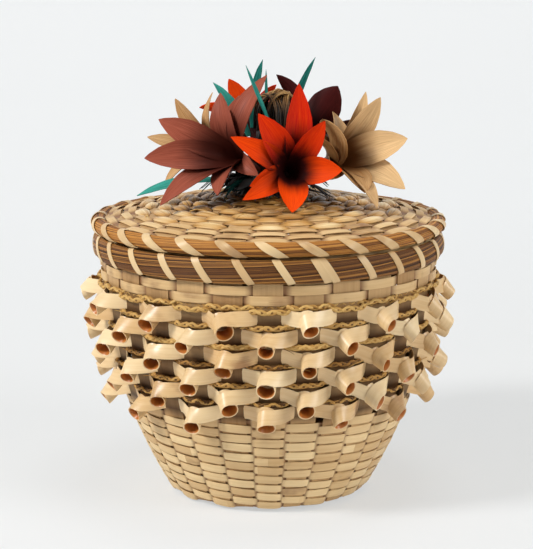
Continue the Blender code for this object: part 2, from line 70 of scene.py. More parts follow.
camera_data = bpy.data.cameras.new("camera")
camera_data.sensor_fit = "VERTICAL"
camera_data.sensor_height = SENSOR
camera_data.sensor_width = SENSOR
camera_data.lens = SENSOR * FOCAL_PIXELS / PHOTO_HEIGHT
camera = bpy.data.objects.new("camera", camera_data)
camera.location = (CAMERA_ASIDE, -CAMERA_DISTANCE, CAMERA_HEIGHT)
camera.rotation_euler = (math.pi / 2 - CAMERA_PITCH, 0, 0)
scene.collection.objects.link(camera)
scene.camera = camera
print("camera lens", round(camera_data.lens, 1), "mm")

# %% [markdown]
# The sizes below are the driving ones of the basket. The wall swells from the base to the shoulder along one
# power curve, so its radius at any height comes from a formula, and every woven piece can ask for it. Both
# rims are ovals of grass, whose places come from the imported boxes.

# %% Driving sizes
BASE_RADIUS = 60.4 * MM
SHOULDER_RADIUS = 102.4 * MM
WALL_HEIGHT = 150 * MM
BULGE_POWER = 2.1
STANDARDS = 28
PITCH = 2 * math.pi / STANDARDS
SPLINT = 0.45 * MM
LID_EDGE_HEIGHT = 170 * MM
LID_CROWN = 12 * MM
LID_ARM_RADIUS = 99.8 * MM
UP = np.array([0, 0, 1.0])
chance = random.Random(28)


def rim_oval(node, depth):
    """A rim's oval section: its middle's radius and height, and half its depth and rise."""
    low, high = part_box(node)
    return high.x - depth, (low.z + high.z) / 2, depth, (high.z - low.z) / 2


RIM = rim_oval("rim_grass_bundle", 2.6 * MM)
LID_RIM = rim_oval("lid_grass_bundle", 4.3 * MM)
RIM_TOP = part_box("rim_grass_bundle")[1].z


def unit(vector):
    return vector / np.linalg.norm(vector, axis=-1, keepdims=True)


def smooth(share):
    share = np.clip(share, 0, 1)
    return share * share * (3 - 2 * share)


def flatter(wave, power):
    """A wave from -1 to 1 that stays longer at its tops."""
    return np.sign(wave) * np.abs(wave) ** power


def ring(radius, angle, height):
    """Points of the basket; angle 0 is the front and grows towards the right."""
    radius, angle, height = np.broadcast_arrays(radius, angle, height)
    return np.stack([radius * np.sin(angle), -radius * np.cos(angle), height], axis=-1)


def along_ring(angle):
    return ring(1.0, angle + math.pi / 2, 0.0)


def level_axes(angles):
    """The directions up and outward at the points of a level ring."""
    outward = ring(1.0, angles, 0.0)
    return np.broadcast_to(UP, outward.shape), outward


def wall_radius(height):
    share = np.clip(height / WALL_HEIGHT, 0, 1)
    return BASE_RADIUS + (SHOULDER_RADIUS - BASE_RADIUS) * (1 - (1 - share) ** BULGE_POWER)


def wall_axes(angle, height):
    """Unit directions along the ring, out of the wall and up the wall."""
    small = 0.1 * MM
    lean = (wall_radius(height + small) - wall_radius(height - small)) / (2 * small)
    up = unit(ring(lean, angle, 1.0))
    along = along_ring(angle)
    return along, np.cross(along, up), up


def lid_height(radius):
    return LID_EDGE_HEIGHT + LID_CROWN * (1 - (radius / LID_ARM_RADIUS) ** 2)


print("wall from", BASE_RADIUS, "to", SHOULDER_RADIUS, "metres in radius, rims at", RIM[1], "and", LID_RIM[1])

# %% [markdown]
# Splint, braid and petal are all long thin strips, so one small builder makes them: it takes the points
# along a strip, the direction across it and its width, and lays a slightly crowned section at each point. It
# also keeps what the materials need later: a UV map in metres along and across each strip, a random number
# for each strip, so that no two splints have quite the same colour, and how much painted shade darkens a
# corner.

# %% Strip builder
SHARP_EDGE = math.radians(50)


def heading(points, closed=False):
    """The direction of a path at each of its points."""
    return unit(np.roll(points, -1, 0) - np.roll(points, 1, 0) if closed else np.gradient(points, axis=0))


def distances(points):
    """How far along a path each of its points lies."""
    return np.append(0, np.cumsum(np.linalg.norm(np.diff(points, axis=0), axis=1)))


def dress(piece, body, finish, *nodes):
    """The piece rides on a body and stands for the nodes; the material slot's name, finish, is not used."""
    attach(piece, body)
    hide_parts(*nodes)


class Strips:
    """Collects strips and tubes into one mesh."""

    def __init__(self):
        self.points, self.faces, self.uvs, self.tints, self.linings, self.count = [], [], [], [], [], 0

    def add(self, rows, along, across, tint=None, closed=False, lining=None):
        """rows is (count, sides, 3), the corners of each section; along and across give their UVs."""
        count, sides = rows.shape[:2]
        tint = chance.random() if tint is None else tint
        self.points.append(rows.reshape(-1, 3))
        self.tints.append(np.broadcast_to(np.reshape(tint, (-1, 1)), (count, sides)).reshape(-1))
        self.linings.append(np.zeros(count * sides) if lining is None else lining.reshape(-1))
        here, side = np.mgrid[:count if closed else count - 1, :sides]
        there, after = (here + 1) % count, (side + 1) % sides
        quads = np.stack([here * sides + side, there * sides + side,
                          there * sides + after, here * sides + after], -1)
        self.faces.extend((self.count + quads.reshape(-1, 4)).tolist())
        step = np.append(along, 2 * along[-1] - along[-2])
        corners = np.stack([step[here], across[side], step[here + 1], across[side],
                            step[here + 1], across[after], step[here], across[after]], -1)
        self.uvs.append(corners.reshape(-1, 2))
        if not closed:
            for row, order in ((0, range(sides)), (count - 1, range(sides)[::-1])):
                self.faces.append([self.count + row * sides + k for k in order])
                self.uvs.append(np.array([[step[row], across[k]] for k in order]))
        self.count += count * sides

    def strip(self, points, side, half, thickness=SPLINT, crown=0.12, tint=None, closed=False, lining=None,
              stained=None):
        """A splint through the points: side is the unit direction across it, half its half width. Painted
        shade may colour only its inner face, which gets two more corners for that, or all of it."""
        out = unit(np.cross(heading(points, closed), side))
        half = np.broadcast_to(half, len(points))[:, None]
        thick = np.broadcast_to(thickness, len(points))[:, None] / 2
        edge = [(-1, -1)] if lining is None else [(-0.9, -1), (-1, -0.5)]
        top = [(-1, 0.6), (-0.55, 1 + crown), (0.55, 1 + crown), (1, 0.6)]
        section = edge + top + [(-x, y) for x, y in edge[::-1]]
        rows = np.stack([points + side * half * x + out * thick * y for x, y in section], 1)
        across = np.array([x for x, y in section]) * float(np.mean(half))
        # Painted shade, on the inner face only or on the whole section.
        if lining is not None:
            lining = lining[:, None] * np.array([float(y == -1) for x, y in section])
        elif stained is not None:
            lining = np.repeat(stained[:, None], len(section), 1)
        self.add(rows, distances(points), across, tint, closed, lining)

    def tube(self, points, radius, sides, tint=None, lining=None):
        """A round strand through the points."""
        run = heading(points)
        helper = np.where(np.abs(run[:, 2:3]) > 0.9, [[1.0, 0, 0]], UP[None, :])
        first = unit(np.cross(run, helper))
        second = np.cross(first, run)
        turns = 2 * math.pi * np.arange(sides) / sides
        rows = np.stack([points + radius[:, None] * (first * math.cos(t) + second * math.sin(t))
                         for t in turns], 1)
        self.add(rows, distances(points), turns * float(np.mean(radius)), tint, lining=lining)

    def build(self, name, material, *dressing):
        """The finished object, at the origin; dressing is what dress asks for."""
        mesh = bpy.data.meshes.new(name)
        mesh.from_pydata(np.concatenate(self.points), [], self.faces)
        uv_map = mesh.uv_layers.new(name="UVMap")
        uv_map.data.foreach_set("uv", np.concatenate(self.uvs).ravel().astype(np.float32))
        # The second attribute is painted shade, which the materials use to darken a corner's colour.
        for word, values in (("tint", self.tints), ("lining", self.linings)):
            attribute = mesh.attributes.new(word, "FLOAT", "POINT")
            attribute.data.foreach_set("value", np.concatenate(values).astype(np.float32))
        mesh.shade_smooth()
        mesh.set_sharp_from_angle(angle=SHARP_EDGE)
        mesh.materials.append(material)
        piece = bpy.data.objects.new(name, mesh)
        scene.collection.objects.link(piece)
        print(name, "has", len(mesh.polygons), "faces")
        if dressing:
            dress(piece, *dressing)
        return piece


# %% [markdown]
# Materials are node trees. Writing shader maths with one node call for each sum is hard to read, so a small
# class wraps a socket and overloads the operators: an expression on sockets then adds its own Math nodes.

# %% Node helpers
class Value:
    """A socket that can be used in Python expressions."""

    def __init__(self, tree, socket):
        self.tree, self.socket = tree, socket

    def math(self, operation, *others, swap=False):
        values = [self, *others]
        return self.tree.add("ShaderNodeMath", {"operation": operation}, values[::-1] if swap else values)

    def __add__(self, other):
        return self.math("ADD", other)

    def __sub__(self, other):
        return self.math("SUBTRACT", other)

    def __rsub__(self, other):
        return self.math("SUBTRACT", other, swap=True)

    def __mul__(self, other):
        return self.math("MULTIPLY", other)

    def __truediv__(self, other):
        return self.math("DIVIDE", other)

    __radd__, __rmul__ = __add__, __mul__

    def clamp(self):
        return self.tree.add("ShaderNodeClamp", {}, [self])


class Tree:
    """A node tree whose nodes are added by one method."""

    def __init__(self, tree):
        self.tree = tree

    def fill(self, node, inputs):
        """Links a node's inputs to values, or sets them to numbers, colours and names."""
        for name, value in inputs.items() if isinstance(inputs, dict) else enumerate(inputs):
            if isinstance(value, Value):
                self.tree.links.new(value.socket, node.inputs[name])
            else:
                node.inputs[name].default_value = value

    def add(self, kind, settings=None, inputs=(), output=0):
        self.node = self.tree.nodes.new(kind)
        for name, value in (settings or {}).items():
            if name == "stops":
                self.fill_ramp(self.node.color_ramp, value)
            else:
                setattr(self.node, name, value)
        self.fill(self.node, inputs)
        return Value(self, self.node.outputs[output])

    def fill_ramp(self, ramp, stops):
        while len(ramp.elements) < len(stops):
            ramp.elements.new(0.5)
        for element, (place, colour) in zip(ramp.elements, stops):
            element.position = place
            element.color = (*colour, 1)

    def mix(self, share, first, second):
        """A blend of two colours."""
        first, second = [colour if isinstance(colour, Value) else (*colour, 1) for colour in (first, second)]
        return self.add("ShaderNodeMix", {"data_type": "RGBA"}, {0: share, 6: first, 7: second}, 2)

    def vector(self, operation, first, second):
        """Vector maths; a scale takes a number as its second value."""
        place = "Scale" if operation == "SCALE" else 1
        return self.add("ShaderNodeVectorMath", {"operation": operation}, {0: first, place: second})

    def spot(self):
        """The place on the object."""
        return self.add("ShaderNodeTexCoord", output=3)

    def attribute(self, name):
        return self.add("ShaderNodeAttribute", {"attribute_name": name}, output=2)

    def noise(self, vector, scale, detail):
        return self.add("ShaderNodeTexNoise", {}, {"Vector": vector, "Scale": scale, "Detail": detail,
                                                  "Roughness": 0.55})

    def steps(self, value, low, high):
        """0 below low, 1 above high and a smooth run between them."""
        return self.add("ShaderNodeMapRange", {"interpolation_type": "SMOOTHSTEP"},
                        {"Value": value, "From Min": low, "From Max": high})


def new_material(name, colour, build):
    """A Principled material whose build function links what varies."""
    material = bpy.data.materials.new(name)
    material.use_nodes = True
    material.diffuse_color = (*colour, 1)
    build(Tree(material.node_tree), material.node_tree.nodes["Principled BSDF"])
    return material


def srgb(red, green, blue):
    """A colour as it is seen on the screen, 0 to 255, as the linear numbers that Blender uses."""
    shares = [value / 255 for value in (red, green, blue)]
    return tuple(value / 12.92 if value <= 0.04045 else ((value + 0.055) / 1.055) ** 2.4 for value in shares)


print("a middle grey of 128 is", round(srgb(128, 128, 128)[0], 3), "in linear light")

# %% [markdown]
# Ash splint, grass and dyed petals are all fibres, with fine streaks along each strip. The streaks come from
# noises that are stretched hard along the strip, read from the UV map, so that they follow every bend and
# curl, and each strip reads them at another place.

# %% Fibres
def fibres(tree, tint, shift, *stretches):
    """Noises on the UV map. Each stretch is how fine it is along and across the strip, and its detail."""
    uv = tree.add("ShaderNodeUVMap", {"uv_map": "UVMap"})
    offset = tree.add("ShaderNodeCombineXYZ", {}, [tint * shift[0], tint * shift[1], 0.0])
    place = tree.vector("ADD", uv, offset)
    return [tree.noise(tree.vector("MULTIPLY", place, (along, across, 1)), 1.0, detail)
            for along, across, detail in stretches]


def surface(tree, shader, colour, roughness, gloss, relief, strength, depth):
    bump = tree.add("ShaderNodeBump", {}, {"Strength": strength, "Distance": depth, "Height": relief})
    tree.fill(shader, {"Base Color": colour, "Roughness": roughness, "Normal": bump,
                       "Specular IOR Level": gloss})


# %% [markdown]
# Splint has a silky sheen, and every strip has its own tone, from cream to tan with a few brown stains. A
# large and soft noise on Object coordinates stains whole areas a little. Where a strip dives into the weave,
# between the rows of curls and inside a curl, its colour is painted darker as shade.

# %% Splint material
def splint_material(name, pale, deep, stain_and_shade, roughness=0.5, lining=None, gloss=0.5):
    pale, deep, stain_and_shade, lining = [srgb(*colour) for colour in (pale, deep, stain_and_shade, lining or stain_and_shade)]

    def build(tree, shader):
        tint = tree.attribute("tint")
        grain, bands = fibres(tree, tint, (3.1, 1.7), (55, 2600, 2), (18, 420, 3))
        cloud = tree.noise(tree.spot(), 38, 3)
        tone = (tint * 0.55 + bands * 0.5 + grain * 0.28 - 0.22).clamp()
        stained = tree.steps(cloud + grain * 0.16, 0.60, 0.80) * (tree.steps(tint, 0.45, 0.95) * 0.75)
        colour = tree.mix(stained, tree.mix(tone, pale, deep), stain_and_shade)
        # Painted shade: the corner's shade attribute turns its colour to the darker shade colour.
        colour = tree.mix(tree.attribute("lining"), colour, lining)
        surface(tree, shader, colour, roughness + grain * 0.18 - 0.05, gloss, grain * 0.7 + bands * 0.5,
                0.35, 0.2 * MM)
    return new_material(name, pale, build)


# The stain colours below also paint the shade where strips dive or lie between the rows of curls.
splint = splint_material("splint", (240, 212, 160), (186, 142, 84), (118, 72, 34))
standard_splint = splint_material("standard_splint", (206, 170, 120), (146, 104, 60), (66, 38, 13), gloss=0.2)
# A curl's inner face takes a darker orange-brown, painted shade for the light bounced inside the tube.
curl_splint = splint_material("curl_splint", (246, 222, 176), (200, 152, 88), (146, 94, 46), 0.31,
                              lining=(188, 112, 46))
pale_splint = splint_material("pale_splint", (228, 200, 152), (192, 152, 98), (146, 98, 52), 0.4)
print("four splint materials")

# %% [markdown]
# Sweetgrass dries to gold and brown blades. In a bundle every blade has its own tone, so the colour comes
# mostly from the strand's random number, with fine streaks along it. The knot's colour is painted dark at
# its foot, as shade, and pale at its top, as the light that reaches it.

# %% Grass material
def grass_material(name, pale, middle, dark, roughness=0.55, shaded=None):
    pale, middle, dark = [srgb(*colour) for colour in (pale, middle, dark)]

    def build(tree, shader):
        tint = tree.attribute("tint")
        grain, = fibres(tree, tint, (5.3, 2.9), (30, 1500, 3))
        # Painted shade from the shade attribute, where a lump dives.
        tone = ((tint * 0.7 + grain * 0.6 - 0.15) * (1.0 - tree.attribute("lining"))).clamp()
        # Painted shade and light by height: darker low down, paler towards the top.
        if shaded:
            height = tree.add("ShaderNodeSeparateXYZ", {}, [tree.spot()], 2)
            tone = tone * (tree.steps(height, *shaded) * 0.8 + 0.2)
        stops = [(0.1, dark), (0.5, middle), (0.95, pale)]
        colour = tree.add("ShaderNodeValToRGB", {"stops": stops}, [tone])
        surface(tree, shader, colour, roughness, 0.3, grain, 0.4, 0.3 * MM)
    return new_material(name, middle, build)


rim_grass = grass_material("rim_grass", (190, 132, 60), (100, 58, 20), (30, 14, 4))
lid_grass = grass_material("lid_grass", (212, 150, 68), (150, 92, 32), (58, 30, 8))
braid_grass = grass_material("braid_grass", (230, 192, 118), (168, 120, 54), (66, 38, 12))
lump_grass = grass_material("lump_grass", (240, 214, 162), (194, 146, 80), (92, 54, 16), 0.36)
# The knot's grass is painted dark low down as shade and pale near its top as light.
knot_grass = grass_material("knot_grass", (214, 174, 104), (122, 84, 40), (20, 12, 6),
                            shaded=(232 * MM, 250 * MM))
print("five grass materials")

# %% [markdown]
# The basket stands on a white sweep, as for a catalogue picture: a floor that curves up into a wall. To the
# camera the sweep shows mostly as plain near-white, and a share of real shading stays in it, so that the
# basket keeps its soft shadow. Three large soft lamps and a pale sky light it, with the strongest lamp high
# on the left. The world behind the sweep is as pale as the sweep to the camera and in reflections, and dim
# where it lights the basket.

# %% Stage and light
SWEEP = [(-1.6, 0), (0.9, 0), (1.15, 0.03), (1.38, 0.12), (1.55, 0.3), (1.63, 0.55), (1.65, 0.9), (1.65, 2.6)]
SWEEP_HALF_WIDTH = 2.5
SWEEP_BELOW = 0.2 * MM
SWEEP_SEEN = 0.62
LAMP_AIM = Vector((0, 0, 0.13))
LAMPS = [("key", (-1.25, -0.75, 1.25), 29.5, 0.4), ("fill", (1.45, -0.75, 0.8), 16, 0.8),
         ("top", (0.2, 0.0, 1.7), 6, 0.6)]

corners = [(side, y, z - SWEEP_BELOW) for y, z in SWEEP for side in (-SWEEP_HALF_WIDTH, SWEEP_HALF_WIDTH)]
quads = [(2 * k, 2 * k + 1, 2 * k + 3, 2 * k + 2) for k in range(len(SWEEP) - 1)]
sweep_mesh = bpy.data.meshes.new("sweep")
sweep_mesh.from_pydata(corners, [], quads)
sweep_mesh.shade_smooth()
sweep = bpy.data.objects.new("sweep", sweep_mesh)
scene.collection.objects.link(sweep)


def light_rays(tree):
    """Tell rays from the camera, from gloss and through glass from those that light the scene."""
    tree.add("ShaderNodeLightPath")
    return [Value(tree, tree.node.outputs[name]) for name in
            ("Is Camera Ray", "Is Glossy Ray", "Is Transmission Ray")]


def sweep_surface(tree, shader):
    tree.fill(shader, {"Base Color": (0.84, 0.85, 0.86, 1), "Roughness": 0.9})
    camera_ray, glossy_ray, passing_ray = light_rays(tree)
    depth = tree.steps(tree.add("ShaderNodeSeparateXYZ", {}, [tree.spot()], 1), 0.0, 1.2)
    shade = tree.mix(depth, (0.83, 0.84, 0.83), (1.03, 1.05, 1.05))
    glow = tree.add("ShaderNodeEmission", {}, {"Color": shade})
    seen = (camera_ray * SWEEP_SEEN + glossy_ray + passing_ray).clamp()
    mixed = tree.add("ShaderNodeMixShader", {}, [seen, Value(tree, shader.outputs[0]), glow])
    tree.fill(tree.tree.nodes["Material Output"], {"Surface": mixed})


sweep_mesh.materials.append(new_material("sweep", (0.85, 0.85, 0.85), sweep_surface))

world = bpy.data.worlds.new("sky")
world.use_nodes = True
sky_tree = Tree(world.node_tree)
sky = world.node_tree.nodes["Background"]
sky_tree.fill(sky, {"Color": (0.95, 0.97, 1.0, 1), "Strength": 0.1})
backdrop = sky_tree.add("ShaderNodeBackground", {}, {"Color": (0.86, 0.88, 0.88, 1), "Strength": 1.0})
camera_ray, glossy_ray, passing_ray = light_rays(sky_tree)
seen = (camera_ray + glossy_ray + passing_ray).clamp()
both = sky_tree.add("ShaderNodeMixShader", {}, [seen, Value(sky_tree, sky.outputs[0]), backdrop])
sky_tree.fill(world.node_tree.nodes["World Output"], {"Surface": both})
scene.world = world
scene.view_settings.view_transform = "Standard"

for name, place, power, size in LAMPS:
    lamp = bpy.data.lights.new(name, "AREA")
    lamp.energy, lamp.size = power, size
    light = bpy.data.objects.new(name, lamp)
    light.location = place
    light.rotation_euler = (LAMP_AIM - Vector(place)).to_track_quat("-Z", "Y").to_euler()
    scene.collection.objects.link(light)
print("stage and", len(LAMPS), "lamps are set")

# %% [markdown]
# The standards are the uprights: 14 long splints cross under the base and turn up on both sides, which makes
# 28. Each one narrows towards the base, because the ring is smaller there, and keeps about three quarters of
# its share of the ring. It rises a little in and out, around the weavers, and between the rows of curls its
# colour is painted darker as shade, darkest right under each row. We build each strip from base to rim along
# the wall's curve.

# %% Standards
STANDARD_SHARE = 0.74
WEAVE_FIRST = 4.6 * MM
WEAVE_PITCH = 3.2 * MM
WEAVE_LOW = 2.9 * MM
WEAVE_HIGH = 62.4 * MM
CURL_ROWS = 6
TOP_CURL = 128.2 * MM
CURL_PITCH = 11.63 * MM
TURN_UP = 3 * MM
WAVE = 0.35 * MM
WAVE_FADE = (58 * MM, 6 * MM)
SHADE_FROM, SHADE_TO, SHADE_FADE = 60 * MM, 136 * MM, 8 * MM
SHADE_SHIFT = 0.38

heights = np.linspace(TURN_UP, RIM_TOP - 1.5 * MM, 60)
radii = wall_radius(heights)
# Painted shade on the standards between the rows of curls, darkest right under each row.
under = 0.5 + 0.5 * np.cos(2 * math.pi * ((TOP_CURL - heights) / CURL_PITCH - SHADE_SHIFT))
shadow = (0.5 + 0.45 * under) * smooth((heights - SHADE_FROM) / SHADE_FADE)
shadow *= smooth((SHADE_TO - heights) / SHADE_FADE)
standards = Strips()
for index in range(STANDARDS):
    drift = chance.uniform(-0.4, 0.4) * MM
    wave = WAVE * np.sin(heights / WEAVE_PITCH * math.pi + index * math.pi)
    wave *= 1 - smooth((heights - WAVE_FADE[0]) / WAVE_FADE[1])
    angles = index * PITCH + drift / radii
    half = STANDARD_SHARE * PITCH * radii / 2
    standards.strip(ring(radii + wave, angles, heights), -along_ring(angles), half, 0.5 * MM, 0.02,
                    stained=shadow)
standards.build("standards", standard_splint, "basket", "splint",
                *[f"standard_{k + 1:02d}" for k in range(STANDARDS // 2)])

# %% [markdown]
# Under the base the same 14 splints cross. Seen from below they are a star of strips, with four flat weavers
# that bind them. The strips pass the middle at seven heights, a step apart, two strips to each height.

# %% Base star
BASE_LAYERS = 7
LAYER_RISE = 0.34 * MM
BASE_LIFT = 0.7 * MM
BASE_WEAVERS = [(31 * MM, 0), (39 * MM, 1), (47 * MM, 0), (54.5 * MM, 1)]

base = Strips()
reach = np.linspace(-1, 1, 41)
far = np.abs(reach)
for index in range(STANDARDS // 2):
    layer = index % BASE_LAYERS * LAYER_RISE
    lift = BASE_LIFT + layer * (1 - smooth((far - 0.15) / 0.55)) + TURN_UP * smooth((far - 0.9) / 0.1)
    points = ring(BASE_RADIUS * reach, index * PITCH, lift)
    base.strip(points, -along_ring(index * PITCH), (3.0 + 1.6 * far ** 2) * MM, 0.4 * MM, 0.02)
for radius, phase in BASE_WEAVERS:
    angles = np.linspace(0, 2 * math.pi, STANDARDS * 8, endpoint=False)
    swing = 0.55 * MM * np.cos(angles * STANDARDS / 2 + phase * math.pi)
    base.strip(ring(radius, angles, 1.5 * MM + swing), ring(1.0, angles, 0.0), 3.2 * MM, 0.4 * MM, 0.05,
               closed=True)
base.build("base_star", standard_splint, "basket", "splint", "base_weaver")

# %% [markdown]
# Below the curls two narrow splints chase each other round and round in one spiral. Because one goes over a
# standard where the other goes under it, the wall shows bricks: each weaver is seen for about one pitch, then
# dives behind the next standard and leaves a dark slit. A weaver is drawn flat and wide while it is outside
# and pinched where it crosses inside, which keeps neighbouring bricks apart. Where it dives, its colour is
# painted darker as shade.

# %% Lower weave
OUTSIDE = 1.15 * MM
INSIDE = -0.95 * MM
SAMPLES_PER_STANDARD = 12
SPLINTS_PER_TURN = 5
# How dark the painted shade is where a strip dives into the weave.
PAINTED_DIVE_SHADE = 0.85

weave = Strips()
for phase in (0, 1):
    begin, end = [(limit - WEAVE_FIRST) / (2 * WEAVE_PITCH) - phase / 2 for limit in (WEAVE_LOW, WEAVE_HIGH)]
    samples = int((end - begin) * STANDARDS * SAMPLES_PER_STANDARD)
    turns = np.linspace(begin, end, samples)
    angles = 2 * math.pi * turns
    spot = angles / PITCH
    ease = flatter(np.cos((spot + phase) * math.pi), 0.45)
    heights = WEAVE_FIRST + (phase + 2 * turns) * WEAVE_PITCH
    wobble = 0.16 * MM * np.sin(spot * 1.7 + phase) + 0.12 * MM * np.sin(spot * 0.31)
    wobble -= 0.30 * MM * np.sin((spot + phase) * math.pi)
    swing = (OUTSIDE + INSIDE) / 2 + (OUTSIDE - INSIDE) / 2 * ease
    half = WEAVE_PITCH * (0.60 + 0.26 * smooth(ease * 0.5 + 0.5))
    points = ring(wall_radius(heights) + swing, angles, heights + wobble)
    up = wall_axes(angles, heights)[2]
    # Painted shade where the weaver dives behind a standard.
    stain_and_shade = PAINTED_DIVE_SHADE * smooth(0.55 - ease)
    for part in np.array_split(np.arange(samples), int((end - begin) * SPLINTS_PER_TURN)):
        part = np.append(part, part[-1] + 1)[:samples - part[0]]
        weave.strip(points[part], up[part], half[part], 0.4 * MM, 0.25, stained=stain_and_shade[part])
weave.build("lower_weave", splint, "basket", "splint", "lower_weaver_a", "lower_weaver_b")

# %% [markdown]
# The curls are what this kind of basket is loved for. In every second pitch a wide, thin splint is brought
# out from the wall, twisted once round into a little open tube, and laid back over its own start before it
# dives behind the next standard. One function works out the path of a single curl in flat coordinates: how
# far along the wall, how far out of it, and how far up. Its first part is the wing that comes off the wall,
# then a turn that grows by a splint's thickness, so that the end lies over the start, then the smooth wing
# that runs back to the wall.

# %% One curl
CURL_TUBE = 4.5 * MM
CURL_OUT = 7.0 * MM
CURL_OUT_MORE = 3.4 * MM
CURL_DROP = 4.6 * MM
CURL_SLOPE = math.radians(29)
CURL_ASIDE = math.radians(12)
CURL_SHIFT = -0.8 * MM
CURL_HALF = 4.4 * MM
CURL_THICKNESS = 0.55 * MM
WING_IN, COIL, WING_OUT = 13, 37, 15
COIL_FROM, COIL_TO = -45, 368
# How much painted shade the curl's inner face takes, point by point along its path.
PAINTED_SHADE_POINTS, PAINTED_SHADE_SHOWS = (9, 15, 48, 59), (0, 1, 1, 0)


def curve_between(first, first_way, last, last_way, count):
    """Points on a smooth curve between two places that leaves and arrives in the given directions."""
    t = np.linspace(0, 1, count)[:, None]
    first, last = np.asarray(first), np.asarray(last)
    pull = np.linalg.norm(last - first)
    return ((2 * t ** 3 - 3 * t ** 2 + 1) * first + (t ** 3 - 2 * t ** 2 + t) * np.asarray(first_way) * pull
            + (3 * t ** 2 - 2 * t ** 3) * last + (t ** 3 - t ** 2) * np.asarray(last_way) * pull)


def curl_path(pitch, slope, aside, tube, out, drop):
    """Rows of (along, out, up), the side direction in the same terms, and how much painted shade shows inside.
    """
    axis = np.array([math.sin(aside) * math.cos(slope), math.cos(aside) * math.cos(slope), -math.sin(slope)])
    right = unit(np.array([1.0, 0, 0]) - axis * axis[0])
    lift = np.cross(right, axis)
    turn = np.radians(np.linspace(COIL_FROM, COIL_TO, COIL))[:, None]
    grow = np.linspace(0, 1, COIL)[:, None]
    radius = tube - 1.0 * MM + 1.3 * MM * smooth(grow * 1.3)
    back = -4.2 * MM * (1 - smooth(grow * 1.9)) - 1.6 * MM * smooth(grow * 3.2 - 2.2)
    centre = np.array([CURL_SHIFT, out, -drop])
    coil = centre + radius * (np.sin(turn) * right + np.cos(turn) * lift) + back * axis
    start_way, end_way = [math.cos(t) * right - math.sin(t) * lift for t in turn[[0, -1], 0]]
    wing_in = curve_between([-0.66 * pitch, 0.3 * MM, 0], [1.0, 0.1, 0], coil[0], start_way * 0.7, WING_IN)
    wing_out = curve_between(coil[-1], end_way * 0.8, [0.70 * pitch, 0.3 * MM, 0], [0.8, -0.75, 0], WING_OUT)
    before = [[-0.82 * pitch, -0.5 * MM, 0]]
    after = [[0.84 * pitch, -0.6 * MM, 0], [1.0 * pitch, -0.95 * MM, 0]]
    points = np.concatenate([before, wing_in[:-1], coil, wing_out[1:], after])
    coil_twist = 0.4 + 0.6 * smooth(grow[:, 0] * 3.2)
    coil_twist[-9:] = 1 - 0.25 * smooth(np.linspace(0, 1, 9))
    twist = np.concatenate([[0], 0.4 * np.linspace(0, 1, WING_IN - 1) ** 2, coil_twist,
                            0.75 * (1 - np.linspace(0, 1, WING_OUT)[1:]) ** 1.1, [0, 0]])[:, None]
    side = (1 - twist) * UP - twist * axis
    run = heading(points)
    side = unit(side - run * np.sum(run * side, axis=1, keepdims=True))
    return points, side, np.interp(np.arange(len(points)), PAINTED_SHADE_POINTS, PAINTED_SHADE_SHOWS)


# %% [markdown]
# Fourteen curls make a row, and the strip is one piece all the way round. The rows are staggered by one
# standard. No two curls are alike: each gets its own slope, turn, size, reach and droop from a seeded random
# number, because a perfectly even row looks like plastic.

# %% Rows of curls
for row in range(CURL_ROWS):
    height = TOP_CURL - row * CURL_PITCH
    radius = float(wall_radius(height))
    pitch = PITCH * radius
    points, sides, linings, tints = [], [], [], []
    for index in range((row + 1) % 2, STANDARDS, 2):
        tilt = CURL_SLOPE + math.radians(chance.uniform(-13, 12))
        size = CURL_TUBE * chance.uniform(0.86, 1.12)
        aside = CURL_ASIDE + math.radians(chance.uniform(-22, 20))
        reach = (CURL_OUT + CURL_OUT_MORE * math.sin(index * PITCH) ** 2) * chance.uniform(0.88, 1.1)
        drop = CURL_DROP * chance.uniform(0.75, 1.25)
        flat, side, lining = curl_path(pitch, tilt, aside, size, reach, drop)
        flat[:, 0] += chance.uniform(-0.7, 0.7) * MM * smooth(1.3 - np.abs(flat[:, 0]) / pitch * 1.3)
        angle = index * PITCH + flat[:, 0] / (radius + flat[:, 1] * 0.7)
        along, out, up = wall_axes(angle, height)
        points.append(ring(radius, angle, height) + out * flat[:, 1:2] + up * flat[:, 2:3])
        sides.append(along * side[:, 0:1] + out * side[:, 1:2] + up * side[:, 2:3])
        linings.append(lining)
        tints.append(np.full(len(lining), chance.uniform(0.0, 1.0)))
    points, sides, linings, tints = [np.concatenate(part) for part in (points, sides, linings, tints)]
    curls = Strips()
    # Each curl's inner face is painted darker as the shade inside the tube.
    curls.strip(points, sides, CURL_HALF, CURL_THICKNESS * (1 + 0.7 * linings), 0.05, tints, True, linings)
    curls.build(f"curls_{row + 1}", curl_splint, "basket", "pale_splint", f"curl_strip_{row + 1}")

# %% [markdown]
# Braids and bundles are strands that follow a path round the basket. That is a job for Geometry Nodes. The
# tree below takes a guide, a plain line of points that also carries which way is out and which way is
# across, copies it once for each strand, moves each copy round the guide's centre, and gives every strand a
# round body. With few strands that change places it makes a braid; with many that run side by side and
# wander a little it makes a bundle of grass.

# %% A Geometry Nodes tree that lays strands along a guide
def new_node_tree(name, whole_numbers, numbers):
    """A tree with a named input for each number, and for the geometry and its material."""
    group = bpy.data.node_groups.new(name, "GeometryNodeTree")
    group.interface.new_socket("Geometry", in_out="OUTPUT", socket_type="NodeSocketGeometry")
    kinds = {"Geometry": "Geometry", **dict.fromkeys(whole_numbers, "Int"), **dict.fromkeys(numbers, "Float"),
             "Material": "Material"}
    for socket, kind in kinds.items():
        group.interface.new_socket(socket, in_out="INPUT", socket_type="NodeSocket" + kind)
    tree = Tree(group)
    given = group.nodes.new("NodeGroupInput")
    return tree, {socket.name: Value(tree, socket) for socket in given.outputs if socket.name}


def named(tree, name, kind="FLOAT"):
    return tree.add("GeometryNodeInputNamedAttribute", {"data_type": kind}, {"Name": name})


